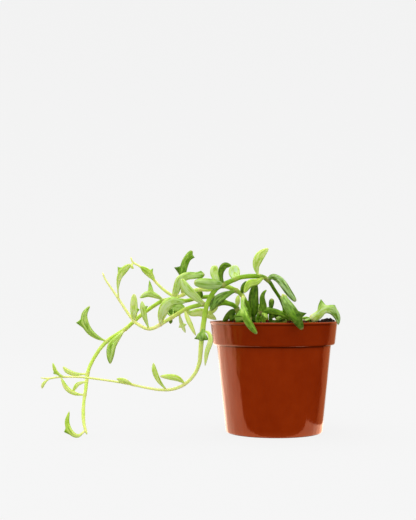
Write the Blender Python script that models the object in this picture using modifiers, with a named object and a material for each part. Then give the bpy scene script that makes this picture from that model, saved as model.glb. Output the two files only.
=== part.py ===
import math
import random

import bmesh
import bpy
from mathutils import Vector, noise

# A string of dolphins in a 9 cm nursery pot. Metres, +Z up, origin at the middle of the pot's flat base.
# The trailing stems run to -X, and the front of the plant faces -Y.

MM = 0.001

# Pot
RIM_RADIUS = 45.3 * MM
POT_HEIGHT = 78.1 * MM
LIP_HEIGHT = 1.3 * MM
COLLAR_TOP_RADIUS = 44.7 * MM
COLLAR_LOW_RADIUS = 43.2 * MM
COLLAR_HEIGHT = 16.2 * MM
COLLAR_ROUND = 1.6 * MM
COLLAR_STEP = 0.3 * MM
BODY_TOP_RADIUS = 40.3 * MM
BASE_RADIUS = 34.0 * MM
FOOT_ROUND = 1.7 * MM
WALL = 1.1 * MM
FLOOR = 1.5 * MM
DRAIN_COUNT = 5
DRAIN_RADIUS = 3.0 * MM
DRAIN_CIRCLE = 21.0 * MM
STEPS = 40

# Soil
GAP = 0.3 * MM
SOIL_EDGE = 75.4 * MM
SOIL_MIDDLE = 76.6 * MM
SOIL_RINGS = 9
CRUMB_HEIGHT = 0.9 * MM
CRUMB_SIZE = 5.5 * MM
HEAP_X = 38.4 * MM
HEAP_Y = -2.0 * MM
HEAP_REACH = 8.5 * MM
HEAP_HEIGHT = 2.4 * MM
ROOT_DEPTH = 12.0 * MM
ROOT_COLLAR = 4.0 * MM

# Stems and leaves. A route or leaf point is read on the upright plane through the pot's axis, as x and z,
# and is then carried along the line of sight to its own depth y. A point is x, y, z and a stem's radius, in
# mm.
VIEW_X = -46.6
VIEW_HEIGHT = 94.4
VIEW_DISTANCE = 716.0
STEM_SIDES = 6
LEAF_SIDES = 6
LEAF_STATIONS = (0.0, 0.16, 0.34, 0.52, 0.70, 0.86, 0.95)
FIN_RISE = 0.14
FIN_FALL = 0.07
FIN_LEAN = 0.25
STALK = 0.75
FULLEST = 1.25
FRONT = (0.0, -1.0, 0.0)
UP = (0.0, 0.0, 1.0)

POT_COLOUR = (0.30, 0.045, 0.012, 1.0)
SOIL_COLOUR = (0.035, 0.022, 0.014, 1.0)
STEM_COLOUR = (0.22, 0.38, 0.06, 1.0)


def leaf(points, width, thick, fins=(), face=FRONT, stalk=STALK, fullest=FULLEST, blunt=0.62):
    """One leaf: its middle line from stem to tip, its size in mm, and its fins as (place, side, reach).

    Side 1 is on the left on the way from stem to tip. A lower blunt makes fuller ends, and a higher fullest
    carries the widest place towards the tip.
    """
    return {"points": points, "width": width, "thick": thick, "fins": fins, "face": face,
            "stalk": stalk, "fullest": fullest, "blunt": blunt}


STEMS = {
    "stem_a": {
        "route": [
            (8.1, -8, 81, 1.2), (7.2, -9, 88, 1.15), (4.5, -12, 94.5, 1.15), (1.0, -15, 99.8, 1.2),
            (-2.6, -18, 105.6, 1.35), (-6.1, -20, 108.8, 1.5), (-9.7, -22, 109.9, 1.6), (-16.8, -25, 110.0, 1.6),
            (-23.9, -28, 109.1, 1.6), (-31.0, -31, 106.2, 1.65), (-34.4, -32, 104.6, 1.8),
            (-40.2, -34, 101.6, 1.65), (-44.5, -36, 95.9, 1.6), (-47.6, -37, 88.8, 1.6), (-49.1, -38, 81.0, 1.7),
            (-50.3, -38, 72.5, 1.75), (-51.2, -38, 64.7, 1.65), (-51.9, -38, 56.2, 1.5),
            (-52.6, -37, 49.1, 1.35), (-55.1, -36, 42.3, 1.2), (-59.4, -35, 36.6, 1.15), (-65.0, -34, 32.4, 1.1),
            (-72.1, -33, 29.9, 1.05), (-80.7, -32, 29.6, 0.95), (-90.6, -31, 31.1, 0.85),
            (-99.8, -30, 33.1, 0.8), (-109.1, -29, 34.9, 0.75), (-123.3, -28, 37.0, 0.72),
            (-137.5, -27, 38.6, 0.7), (-151.7, -26, 38.6, 0.68), (-159.5, -25, 37.5, 0.62),
            (-165.1, -25, 38.1, 0.5),
        ],
        "leaves": [
            leaf([(-3.6, -19, 108.4), (-0.8, -20.5, 109.6), (3.6, -22, 107.8), (7.2, -25, 103.8),
                  (11.0, -26, 98.2), (15.8, -28, 92.0)], 5.3, 4.2, stalk=1.4, blunt=0.32),
            leaf([(-10.7, -23, 110.5), (-12.3, -25, 116.6), (-11.2, -26, 121.6), (-8.2, -26, 126),
                  (-3.6, -26, 129.8)], 6.4, 3.2),
            leaf([(-6.4, -22, 107.6), (-11.8, -27, 106.1), (-17.2, -30, 104.4), (-21, -31, 98)], 5.4, 3.2,
                 stalk=1.0),
            leaf([(-35.5, -33, 104.4), (-45.2, -37, 104.5), (-56.6, -39, 105.6)], 7.4, 5.2, stalk=1.7,
                 blunt=0.34),
            leaf([(-37.4, -33, 104), (-41.6, -30, 111), (-42, -29, 117.8)], 6.0, 2.6, blunt=0.32),
            leaf([(-36.4, -33, 104.4), (-37.4, -35, 112.5), (-34.8, -36, 117.4), (-29.9, -36, 117.6)], 4.6,
                 3.2, stalk=1.3),
            leaf([(-27.0, -29, 107.6), (-27.8, -25, 112), (-28, -23, 117.8)], 7.8, 2.8, blunt=0.34),
            leaf([(-50.0, -38, 72.0), (-50.3, -41.5, 70.8), (-50.8, -43.5, 68.0), (-51.2, -44.5, 63.8)],
                 7.4, 3.2, [(0.86, 1, 2.0), (0.86, -1, 2.0)], stalk=1.4, fullest=2.4, blunt=0.9),
            leaf([(-50.2, -38, 71.5), (-46, -43, 69.4), (-44.9, -45, 64), (-47.4, -45, 56),
                  (-48.7, -44, 46.3)], 3.5, 2.7),
            leaf([(-62.6, -34, 34), (-69.3, -37, 38.0), (-80.7, -38, 39.2)], 4.2, 2.9),
            leaf([(-76.4, -33, 29.8), (-81.4, -35, 36), (-84.4, -36, 42.7), (-85.3, -36, 48.6)], 3.6, 2.7),
            leaf([(-99.5, -30, 33), (-105.5, -32, 36), (-111.4, -33, 37.4)], 3.0, 2.3, [(0.78, 1, 1.6)]),
            leaf([(-159.2, -25, 37.5), (-163, -26, 33.8), (-164.2, -26, 30.4)], 2.2, 1.7),
            leaf([(-148.8, -26, 38.6), (-154.2, -27, 42.2), (-156.6, -27, 48.6)], 2.6, 2.0,
                 [(0.5, 1, 1.0)]),
        ],
    },
    "stem_b": {
        "route": [
            (-18.0, -18, 81, 1.5), (-18.6, -19, 86, 1.5), (-20.2, -21, 92, 1.5), (-22.6, -22, 96.8, 1.55),
            (-26.7, -22, 99.8, 1.6), (-33.8, -22, 102.8, 1.6), (-38.8, -20, 102.6, 1.55),
            (-43.0, -18, 100.8, 1.5), (-47.3, -16, 100.5, 1.5), (-52.3, -14, 100.5, 1.45),
            (-59.4, -12, 99.1, 1.35), (-66.5, -11, 95.9, 1.25), (-70.7, -11, 95.7, 1.15),
            (-76.4, -11, 99.1, 1.05), (-82.1, -12, 104.1, 0.95), (-87.8, -11, 110.5, 0.85),
            (-94.9, -12, 116.9, 0.75), (-99.8, -12, 119.7, 0.65), (-101.6, -12, 123.6, 0.5),
        ],
        "leaves": [
            leaf([(-84, -12, 106.4), (-88.6, -16, 112), (-94.7, -18, 117)], 4.8, 2.8, [(0.5, -1, 2.2)]),
            leaf([(-99.7, -12, 119.6), (-101.2, -14, 117.2), (-99.4, -14, 115.4)], 2.2, 1.8),
            leaf([(-64.3, -11, 96.9), (-64.6, -7, 106), (-64.3, -5, 113.6), (-62.9, -5, 119.4),
                  (-60.2, -6, 124.6), (-57.9, -6, 128.3)], 5.4, 4.2, [(0.42, 1, 4.2), (0.82, -1, 2.1)],
                 stalk=1.5, blunt=0.42),
            leaf([(-70.5, -11, 95.8), (-69.0, -15, 100.5), (-66.6, -18.5, 107.2), (-61.5, -21, 110.1),
                  (-55.5, -22, 110.5), (-48.9, -22, 111.2)], 5.8, 4.0, [(0.92, 1, 1.3), (0.92, -1, 0.9)],
                 stalk=1.5, fullest=0.8, blunt=0.35),
            leaf([(-51.6, -14, 100.2), (-52.6, -12, 97.2), (-53.2, -11, 93.8)], 5.2, 3.0),
            leaf([(-18.2, -18.6, 81.6), (-15.2, -22, 83.4), (-14.3, -23.6, 89), (-14.2, -23.4, 96.4),
                  (-12.9, -22.4, 105.0)], 7.2, 4.2, stalk=2.4, blunt=0.36),
            leaf([(-18.1, -18.4, 81.4), (-17.4, -22, 84), (-17.5, -24, 88.4), (-18.2, -25, 92.8)], 4.2, 3.0,
                 stalk=1.2),
            leaf([(-22.6, -22, 96.8), (-21.6, -24, 101.5), (-19.2, -24, 106.6)], 3.8, 2.6),
            leaf([(-18.0, -18.2, 79.8), (-15.8, -21, 80.6), (-12.4, -23.6, 78.4)], 5.4, 3.6, stalk=1.6),
            leaf([(-18.0, -18.0, 79.2), (-21.2, -20.4, 80.6), (-24.2, -22, 78.0)], 5.0, 3.4, stalk=1.6),
            leaf([(-27, -22, 99.4), (-35.6, -30, 96.2), (-40.8, -35, 92.0), (-44.9, -39, 85.2)], 7.4, 3.4,
                 face=(-0.5, -0.87, 0), stalk=1.3),
        ],
    },
    "stem_c": {
        "route": [
            (-25.3, -27, 81, 1.6), (-25.4, -28, 84.6, 1.6), (-26.2, -29, 87.2, 1.6), (-28.4, -30, 89.4, 1.6),
            (-34.5, -31, 91.0, 1.6), (-41.6, -31, 90.1, 1.6), (-48.7, -30, 90.0, 1.55), (-55.8, -29, 88.8, 1.5),
            (-62.9, -28, 86.3, 1.45), (-70.0, -27, 82.1, 1.35), (-77.1, -26, 77.8, 1.3),
            (-84.2, -25, 73.6, 1.25), (-87.8, -24, 72.7, 1.2), (-91.3, -23, 73.2, 1.15),
            (-97.7, -21, 76.8, 1.1), (-102.0, -19, 81.7, 1.0), (-106.2, -17, 87.8, 0.95),
            (-110.8, -15, 94.9, 0.85), (-115.4, -13, 101.6, 0.75), (-119.7, -12, 108.0, 0.65),
            (-121.5, -12, 112.6, 0.5),
        ],
        "leaves": [
            leaf([(-49.4, -30, 90.4), (-55.8, -32, 95.6), (-61.6, -33, 101.0), (-65.6, -33, 108.2)], 6.4,
                 4.6, stalk=1.7, blunt=0.46),
            leaf([(-63.4, -28, 86), (-60.8, -31, 79.6), (-55.3, -32, 67.8)], 3.3, 2.4),
            leaf([(-67.2, -27, 83.8), (-65.4, -23, 76.6), (-62.6, -22, 69.8)], 2.8, 2.0, [(0.62, 1, 1.8),
                  (0.62, -1, 1.6)]),
            leaf([(-62.6, -28, 86.2), (-58.6, -25.5, 83.8), (-52.3, -24, 84.4), (-46.2, -22, 82.6),
                  (-40.6, -20, 79.2)], 5.8, 3.0, stalk=0.9),
            leaf([(-39.5, -31, 90.2), (-42.0, -28.6, 87.2), (-46.6, -27.4, 82.4)], 4.0, 2.4),
            leaf([(-88.6, -24, 72.8), (-91.3, -27, 80.3), (-92.8, -28, 87), (-93.6, -28, 92.4)], 4.0, 2.8,
                 [(0.70, -1, 2.0)]),
            leaf([(-99, -20.5, 78.2), (-99.2, -23, 86), (-99.1, -24, 97.4)], 5.2, 2.8, [(0.5, -1, 1.6)],
                 blunt=0.42),
            leaf([(-109.9, -15, 93.6), (-110.6, -18, 101.6), (-109.6, -20, 109.2), (-106.6, -20, 114),
                  (-101.6, -21, 118.7)], 5.0, 3.4, [(0.7, 1, 2.4)], stalk=0.6, fullest=2.2),
            leaf([(-80.4, -26, 75.8), (-79.3, -31, 82.6), (-76.4, -33, 89.0), (-71.0, -33, 92.4),
                  (-62.6, -32, 91.2)], 7.4, 4.4, stalk=1.2, fullest=1.0),
            leaf([(-71.6, -26, 81.6), (-73.0, -23.5, 84.8), (-73.4, -22.5, 87.0)], 3.4, 2.4),
            leaf([(-72.4, -26, 80.2), (-73.0, -25, 78.4), (-73.3, -24.6, 76.2)], 2.6, 2.0),
            leaf([(-71.4, -27, 81.3), (-73.0, -22, 85.2), (-68.6, -20, 87.6), (-62.6, -20, 87.2)], 8.4, 4.2,
                 [(0.66, -1, 3.2)]),
            leaf([(-25.6, -28, 85.6), (-29.6, -26, 84.2), (-36.2, -22, 77.6)], 4.8, 3.2),
            leaf([(-25.4, -27, 81.6), (-28.6, -26.6, 81.0), (-31.4, -26, 78.8)], 4.6, 3.0, stalk=1.4),
            leaf([(-26.2, -29, 87), (-25.6, -31, 92), (-25.1, -31, 96.6)], 3.4, 2.4),
        ],
    },
    "stem_d": {
        "route": [
            (-23.5, 4, 80, 1.5), (-24.4, 4, 84.4, 1.5), (-27.6, 4, 88.6, 1.5), (-33.0, 4, 91.2, 1.5),
            (-38.5, 4, 93.8, 1.5), (-45.0, 4, 95.4, 1.5),
            (-54.0, 5, 94.6, 1.45), (-61.5, 5, 92.6, 1.45), (-66.5, 5, 92.9, 1.45), (-73.6, 5, 93.1, 1.45),
            (-78.8, 5, 92.6, 1.45), (-85.6, 5, 88.6, 1.4), (-93.8, 4, 82.6, 1.4), (-99.8, 4, 77.3, 1.4),
            (-105.5, 3, 72.3, 1.4), (-112.6, 2, 67.9, 1.4), (-118.3, 0, 63.8, 1.45), (-123.3, -3, 58.3, 1.35),
            (-128.2, -6, 50.5, 1.3), (-131.3, -10, 43.4, 1.3), (-132.5, -14, 36.3, 1.25),
            (-133.2, -19, 29.2, 1.2), (-134.3, -23, 22.1, 1.1), (-134.8, -28, 13.6, 1.25),
            (-134.2, -33, 5.2, 1.1), (-132.2, -38, -1.5, 0.7),
        ],
        "leaves": [
            leaf([(-77.8, 4.5, 93), (-83.5, 1, 96), (-89.2, 0, 97.4), (-95.1, 0, 94.6)], 4.6, 3.6,
                 [(0.58, -1, 7.6)]),
            leaf([(-118.3, -0.5, 64), (-125, -3, 66.6), (-130.6, -5, 71), (-133.9, -6, 77),
                  (-134.2, -6, 83.1), (-130.5, -6, 89)], 5.2, 3.8, [(0.62, 1, 3.6)]),
            leaf([(-104.8, 3, 72.4), (-110.8, -1, 66.2), (-114.7, -3, 60.6), (-115.8, -4, 54.2),
                  (-115.9, -4, 47.8)], 6.2, 4.2),
            leaf([(-131.9, -12, 41), (-140.3, -12, 40.7), (-146, -12, 42.7), (-149.4, -12, 46)], 3.4, 2.6),
            leaf([(-133.4, -20.5, 25.6), (-141, -21, 27.1), (-146.8, -20, 31), (-150.8, -18, 38.4)], 3.3,
                 2.6),
            leaf([(-132.6, -14.6, 35.4), (-138.9, -15, 33.4), (-142.6, -15, 27.8)], 2.8, 2.2),
            leaf([(-133.6, -36, 0.8), (-138.6, -41, -2.8), (-143.8, -42, 0.2), (-146.2, -41, 6.8),
                  (-144.7, -40, 14.6)], 3.6, 2.7, [(0.56, 1, 2.0)]),
        ],
    },
    "shoot_front": {
        "route": [(8.0, -30, 81, 1.2), (7.4, -32, 87, 1.2), (6.7, -34, 92, 1.15), (6.6, -35.5, 97.4, 0.9)],
        "leaves": [
            leaf([(6.6, -35, 96.4), (9.4, -39, 90.4), (13.2, -44, 84.6), (17.0, -48, 78.6),
                  (20.3, -50, 72.0)], 7.6, 5.2, [(0.67, 1, 4.2)], stalk=2.4, fullest=1.0, blunt=0.44),
            leaf([(8.0, -30.4, 77.8), (2.6, -31, 77.0), (-1.8, -31.4, 78.4), (-2.2, -31.8, 84.0),
                  (-1.8, -32, 88.6), (-1.2, -32, 94.3)], 3.7, 3.5, stalk=1.8, fullest=6.6, blunt=0.5),
            leaf([(6.9, -31.5, 80.2), (9.8, -33.6, 80.4), (12.9, -35, 78.8)], 3.6, 2.0),
            leaf([(7.6, -31, 79.4), (4.6, -33.4, 80.4), (1.6, -35.2, 78.8)], 4.6, 3.0, face=UP),
        ],
    },
    "shoot_dark": {
        "route": [(-11.6, -33, 79.8, 1.4), (-11.0, -33.4, 82.0, 1.4), (-9.2, -34.2, 84.2, 1.4),
                  (-6.8, -35, 85.8, 1.3)],
        "leaves": [
            leaf([(-8.4, -34.6, 84.4), (-7.5, -35.6, 88.8), (-8.1, -36.2, 94.2), (-7.2, -36.4, 97.8),
                  (-5.0, -36.8, 100.4)], 5.8, 4.0, stalk=2.4, fullest=0.24, blunt=0.6),
            leaf([(-8.6, -34.4, 83.6), (-4.4, -36.0, 85.3), (0.9, -37.6, 84.8), (6.0, -38.6, 82.8),
                  (12.2, -38.6, 79.0)], 4.4, 3.6, stalk=2.0, fullest=0.75, blunt=0.35),
            leaf([(-9.0, -34.2, 84.0), (-6.4, -37, 82.6), (-5.0, -39.2, 79.8)], 3.8, 2.8, face=UP),
        ],
    },
    "shoot_left": {
        "route": [(-17.0, -33.5, 81, 1.25), (-17.8, -34.5, 87, 1.25), (-19.8, -36, 92.6, 1.2),
                  (-22.2, -37.5, 96.8, 1.0)],
        "leaves": [
            leaf([(-22.1, -37.4, 95.2), (-22.0, -42, 90.2), (-21.3, -46, 84.8), (-19.2, -49, 79.4),
                  (-16.0, -51, 74.2), (-11.8, -52, 69)], 5.0, 4.0, [(0.43, -1, 5.8), (0.33, 1, 2.0),
                  (0.47, 1, 1.2)], stalk=1.5, fullest=1.7, blunt=0.5),
            leaf([(-17.0, -33.4, 79.2), (-22.0, -35, 80.4), (-27.6, -36, 79.2)], 4.6, 3.0),
        ],
    },
    "shoot_right": {
        "route": [(26.4, -26, 79.4, 1.2), (27.0, -26.4, 81.2, 1.1)],
        "leaves": [
            leaf([(28.4, -26.6, 78.8), (31.4, -27.6, 82.2), (35.0, -28.5, 85.6), (39.0, -27.5, 86.5),
                  (42.6, -26, 84.8), (45.2, -25, 80.6), (45.9, -24.5, 75.4)], 5.8, 4.4, [(0.36, 1, 5.2),
                  (0.60, 1, 1.4)], stalk=3.2),
            leaf([(26.6, -26.2, 78.8), (24.6, -29, 79.4), (22.4, -32, 78.4)], 3.4, 1.8, face=UP),
        ],
    },
}

# These shoots carry leaves by a rule: in turn left, right and outward. Two stand in the middle of the pot,
# and three hang over the back rim.
RULE_SHOOTS = {
    "shoot_middle": [
        (-7.0, -7, 80.4, 1.3), (-7.6, -6, 82, 1.3), (-8.4, -4, 83.6, 1.2), (-8.8, -1, 84.8, 1.0),
        (-8.6, 2, 85.4, 0.7)],
    "shoot_back": [
        (5.0, 2, 79.8, 1.2), (5.2, 3, 81.0, 1.2), (5.6, 6, 82.0, 1.1), (5.8, 10, 82.4, 0.9),
        (5.4, 14, 82.2, 0.6)],
    "shoot_rear_middle": [
        (-9.0, 17, 81, 1.4), (-8.6, 20, 86, 1.4), (-8.0, 28, 89, 1.35), (-6.6, 38, 87.6, 1.3),
        (-5.2, 46, 82, 1.3), (-4.4, 51, 73, 1.2), (-4.0, 53, 63, 1.1), (-4.6, 53, 52, 1.0),
        (-6.0, 52, 41, 0.85), (-8.0, 51, 32, 0.6)],
    "shoot_rear_right": [
        (15.0, 17, 79.8, 1.3), (16.6, 31, 81.4, 1.25), (17.8, 39.5, 81.2, 1.2), (18.6, 43.5, 79.4, 1.2),
        (19.0, 46.5, 74, 1.15), (19.4, 48, 68, 1.05), (19.0, 49, 58, 0.9), (17.6, 49, 49, 0.6)],
    "shoot_rear_left": [
        (-20.0, 15, 79.8, 1.3), (-28.2, 38, 80.8, 1.2), (-29.6, 41, 76, 1.15), (-30.0, 41.4, 71, 1.1),
        (-30.2, 41.5, 66, 1.05), (-30.0, 41.5, 61, 0.9), (-29.4, 41.5, 56, 0.6)],
}
RULE_SEED = 11
RULE_FIRST = 0.30
RULE_LENGTH = (14.0, 20.0)
RULE_SPACING = 0.115
SHORT_LENGTH = (9.0, 13.0)
SHORT_SPACING = 0.16
SHORT_SHOOTS = ("shoot_middle", "shoot_back")
RULE_WIDTH = (4.2, 5.6)
RULE_FIN = 0.42


def sight(x, y, z):
    """A point on the axis plane, in mm, carried along the line of sight to depth y, in metres."""
    reach = (VIEW_DISTANCE + y) / VIEW_DISTANCE
    return Vector((VIEW_X + (x - VIEW_X) * reach, y, VIEW_HEIGHT + (z - VIEW_HEIGHT) * reach)) * MM


def smooth_point(points, place):
    """A point at place 0 to 1 on a smooth curve through the points."""
    spans = len(points) - 1
    at = min(place * spans, spans - 1e-6)
    i = int(at)
    t = at - i
    p1, p2 = points[i], points[i + 1]
    p0 = points[i - 1] if i > 0 else p1 * 2 - p2
    p3 = points[i + 2] if i + 2 <= spans else p2 * 2 - p1
    return 0.5 * (2 * p1 + (p2 - p0) * t + (2 * p0 - 5 * p1 + 4 * p2 - p3) * t ** 2
                  + (3 * p1 - p0 - 3 * p2 + p3) * t ** 3)


def nearest_on_line(corners, spot):
    """The point of a line of corners that lies nearest to the spot."""
    found = corners[0]
    for a, b in zip(corners, corners[1:]):
        run = b - a
        along = max(0.0, min(1.0, (spot - a).dot(run) / run.length_squared))
        near = a + run * along
        if (near - spot).length < (found - spot).length:
            found = near
    return found


def clear_scene():
    for obj in list(bpy.data.objects):
        bpy.data.objects.remove(obj, do_unlink=True)


def new_collection(name):
    made = bpy.data.collections.new(name)
    bpy.context.scene.collection.children.link(made)
    return made


def plain_material(name, colour, roughness):
    made = bpy.data.materials.new(name)
    made.use_nodes = True
    shader = made.node_tree.nodes["Principled BSDF"]
    shader.inputs["Base Color"].default_value = colour
    shader.inputs["Roughness"].default_value = roughness
    shader.inputs["Metallic"].default_value = 0.0
    return made


def mesh_object(name, bm, collection, material=None):
    mesh = bpy.data.meshes.new(name)
    bm.to_mesh(mesh)
    bm.free()
    obj = bpy.data.objects.new(name, mesh)
    collection.objects.link(obj)
    if material:
        mesh.materials.append(material)
    return obj


def turned(name, profile, steps, collection, material):
    """A solid of revolution: the profile runs from the axis, down the outer side and back to the axis."""
    bm = bmesh.new()
    corners = [bm.verts.new((r, 0.0, z)) for r, z in profile]
    for a, b in zip(corners, corners[1:]):
        bm.edges.new((a, b))
    obj = mesh_object(name, bm, collection, material)
    screw = obj.modifiers.new("turn", "SCREW")
    screw.steps = steps
    screw.render_steps = steps
    screw.use_merge_vertices = True
    screw.merge_threshold = 0.00005
    return obj


def applied(obj):
    """The object's mesh with its modifiers applied."""
    evaluated = obj.evaluated_get(bpy.context.evaluated_depsgraph_get())
    mesh = bpy.data.meshes.new_from_object(evaluated)
    obj.modifiers.clear()
    old = obj.data
    obj.data = mesh
    bpy.data.meshes.remove(old)
    return obj


def arc(centre_r, centre_z, radius, start, end, count):
    """Profile points on an arc, from start to end degrees."""
    turns = [math.radians(start + (end - start) * i / (count - 1)) for i in range(count)]
    return [(centre_r + radius * math.cos(a), centre_z + radius * math.sin(a)) for a in turns]


def add_cutter(obj, target, solver="EXACT"):
    obj.hide_render = True
    obj.display_type = "WIRE"
    cut = target.modifiers.new(obj.name, "BOOLEAN")
    cut.operation = "DIFFERENCE"
    cut.solver = solver
    cut.object = obj


def make_pot(collection, cutters, material):
    collar_foot = POT_HEIGHT - COLLAR_HEIGHT
    outer = [(RIM_RADIUS, POT_HEIGHT), (RIM_RADIUS, POT_HEIGHT - LIP_HEIGHT),
             (COLLAR_TOP_RADIUS, POT_HEIGHT - LIP_HEIGHT - 0.5 * MM)]
    outer += arc(COLLAR_LOW_RADIUS - COLLAR_ROUND, collar_foot + COLLAR_ROUND, COLLAR_ROUND, 0, -80, 4)
    outer += [(BODY_TOP_RADIUS, collar_foot - COLLAR_STEP)]
    outer += arc(BASE_RADIUS - FOOT_ROUND, FOOT_ROUND, FOOT_ROUND, -12, -90, 4)
    inner_top = RIM_RADIUS - WALL - 0.5 * MM
    inner = [(BASE_RADIUS - FOOT_ROUND - WALL, FLOOR), (BODY_TOP_RADIUS - WALL, collar_foot - COLLAR_STEP),
             (COLLAR_LOW_RADIUS - WALL, collar_foot + WALL), (inner_top, POT_HEIGHT)]
    profile = [(0.0, 0.0)] + outer[::-1] + inner[::-1] + [(0.0, FLOOR)]
    pot = turned("pot", profile[::-1], STEPS, collection, material)
    for i in range(DRAIN_COUNT):
        bm = bmesh.new()
        bmesh.ops.create_cone(bm, cap_ends=True, segments=12, radius1=DRAIN_RADIUS, radius2=DRAIN_RADIUS,
                              depth=FLOOR * 6)
        drain = mesh_object(f"drain_{i}", bm, cutters)
        turn = math.tau * i / DRAIN_COUNT + 0.3
        drain.location = (DRAIN_CIRCLE * math.cos(turn), DRAIN_CIRCLE * math.sin(turn), FLOOR / 2)
        add_cutter(drain, pot)
    pot.data.shade_smooth()
    return pot


def soil_top(x, y):
    """Height of the crumbly top, with the small heap by the rim on the right."""
    dome = SOIL_EDGE + (SOIL_MIDDLE - SOIL_EDGE) * (1 - (x * x + y * y) / RIM_RADIUS ** 2)
    heap = HEAP_HEIGHT * max(0.0, 1 - math.hypot(x - HEAP_X, y - HEAP_Y) ** 2 / HEAP_REACH ** 2)
    return dome + heap + CRUMB_HEIGHT * noise.noise(Vector((x, y, 0.0)) / CRUMB_SIZE)


def make_soil(collection, cutters, material, roots):
    collar_foot = POT_HEIGHT - COLLAR_HEIGHT
    inner_top = RIM_RADIUS - WALL - 0.5 * MM
    slope = (inner_top - COLLAR_LOW_RADIUS + WALL) / (COLLAR_HEIGHT - WALL)
    edge = COLLAR_LOW_RADIUS - WALL + slope * (SOIL_EDGE - collar_foot - WALL) - GAP
    top = [(edge * i / (SOIL_RINGS - 1), SOIL_EDGE) for i in range(SOIL_RINGS)]
    side = [(COLLAR_LOW_RADIUS - WALL - GAP, collar_foot + WALL + GAP),
            (BODY_TOP_RADIUS - WALL - GAP, collar_foot - COLLAR_STEP + GAP),
            (BASE_RADIUS - FOOT_ROUND - WALL - GAP * 2, FLOOR + GAP), (0.0, FLOOR + GAP)]
    soil = applied(turned("soil", top + side, STEPS, collection, material))
    for corner in soil.data.vertices:
        if corner.co.z > SOIL_EDGE - 0.01 * MM:
            corner.co.z = soil_top(corner.co.x, corner.co.y)
    for name, (foot, radius) in roots.items():
        bm = bmesh.new()
        bmesh.ops.create_cone(bm, cap_ends=True, segments=10, radius1=radius + GAP * 1.4,
                              radius2=radius + GAP * 1.4, depth=ROOT_DEPTH * 2)
        hole = mesh_object(f"hole_{name}", bm, cutters)
        hole.location = (foot.x, foot.y, foot.z - GAP + ROOT_DEPTH)
        add_cutter(hole, soil)
    soil.data.shade_smooth()
    return soil


def add_tube(name, centres, radii, collection, material):
    """A round stem along the centres, as a closed mesh."""
    curve = bpy.data.curves.new(name, "CURVE")
    curve.dimensions = "3D"
    curve.bevel_depth = 1.0
    curve.bevel_resolution = (STEM_SIDES - 4) // 2
    curve.use_fill_caps = True
    line = curve.splines.new("POLY")
    line.points.add(len(centres) - 1)
    for point, centre, radius in zip(line.points, centres, radii):
        point.co = (*centre, 1.0)
        point.radius = radius
    guide = bpy.data.objects.new(f"{name}_line", curve)
    collection.objects.link(guide)
    evaluated = guide.evaluated_get(bpy.context.evaluated_depsgraph_get())
    mesh = bpy.data.meshes.new_from_object(evaluated)
    bm = bmesh.new()
    bm.from_mesh(mesh)
    bpy.data.meshes.remove(mesh)
    bmesh.ops.remove_doubles(bm, verts=bm.verts, dist=0.00001)
    bmesh.ops.recalc_face_normals(bm, faces=bm.faces)
    obj = mesh_object(name, bm, collection, material)
    obj.matrix_world = guide.matrix_world
    bpy.data.objects.remove(guide, do_unlink=True)
    bpy.data.curves.remove(curve)
    return obj


def leaf_girth(t, shape):
    """Half width and half thickness at place t, in mm: a stalk, a full body and a pointed tip."""
    swell = math.sin(math.pi * t ** shape["fullest"]) ** shape["blunt"]
    stalk = shape["stalk"] * (1 - t) ** 0.5
    return max(stalk, shape["width"] / 2 * swell), max(stalk, shape["thick"] / 2 * swell)


def fin_height(t, place):
    """A fin climbs slowly from the stem's side to its point and falls off fast towards the tip."""
    span = FIN_RISE if t < place else FIN_FALL
    return max(0.0, 1 - abs(t - place) / span)


def add_leaf(name, shape, points, collection):
    """A loft of rings along the leaf's middle line. A fin draws one side of a ring out and forward."""
    stations = set(LEAF_STATIONS)
    for place, _, _ in shape["fins"]:
        stations = {s for s in stations if not place - FIN_RISE < s < place + FIN_FALL * 1.5}
        stations |= {place - FIN_RISE, place, place + FIN_FALL}
    face = Vector(shape["face"])
    bm = bmesh.new()
    rings = []
    for t in sorted(stations):
        centre = smooth_point(points, t)
        ahead, behind = smooth_point(points, min(1.0, t + 0.02)), smooth_point(points, max(0.0, t - 0.02))
        along = (ahead - behind).normalized()
        side = face.cross(along).normalized()
        out = along.cross(side).normalized()
        half_width, half_thick = leaf_girth(t, shape)
        ring = []
        for k in range(LEAF_SIDES):
            turn = math.tau * k / LEAF_SIDES
            spot = centre + (side * math.cos(turn) * half_width + out * math.sin(turn) * half_thick) * MM
            for place, which, reach in shape["fins"]:
                if math.cos(turn) * which > 0.9:
                    spot = spot + (side * which + along * FIN_LEAN) * reach * fin_height(t, place) * MM
            ring.append(bm.verts.new(spot))
        rings.append(ring)
    bm.faces.new(rings[0][::-1])
    for low, high in zip(rings, rings[1:]):
        for k in range(LEAF_SIDES):
            n = (k + 1) % LEAF_SIDES
            bm.faces.new((low[k], low[n], high[n], high[k]))
    tip = bm.verts.new(smooth_point(points, 1.0))
    for k in range(LEAF_SIDES):
        bm.faces.new((rings[-1][k], rings[-1][(k + 1) % LEAF_SIDES], tip))
    bmesh.ops.triangulate(bm, faces=bm.faces)
    bmesh.ops.recalc_face_normals(bm, faces=bm.faces)
    return mesh_object(name, bm, collection)


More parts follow.
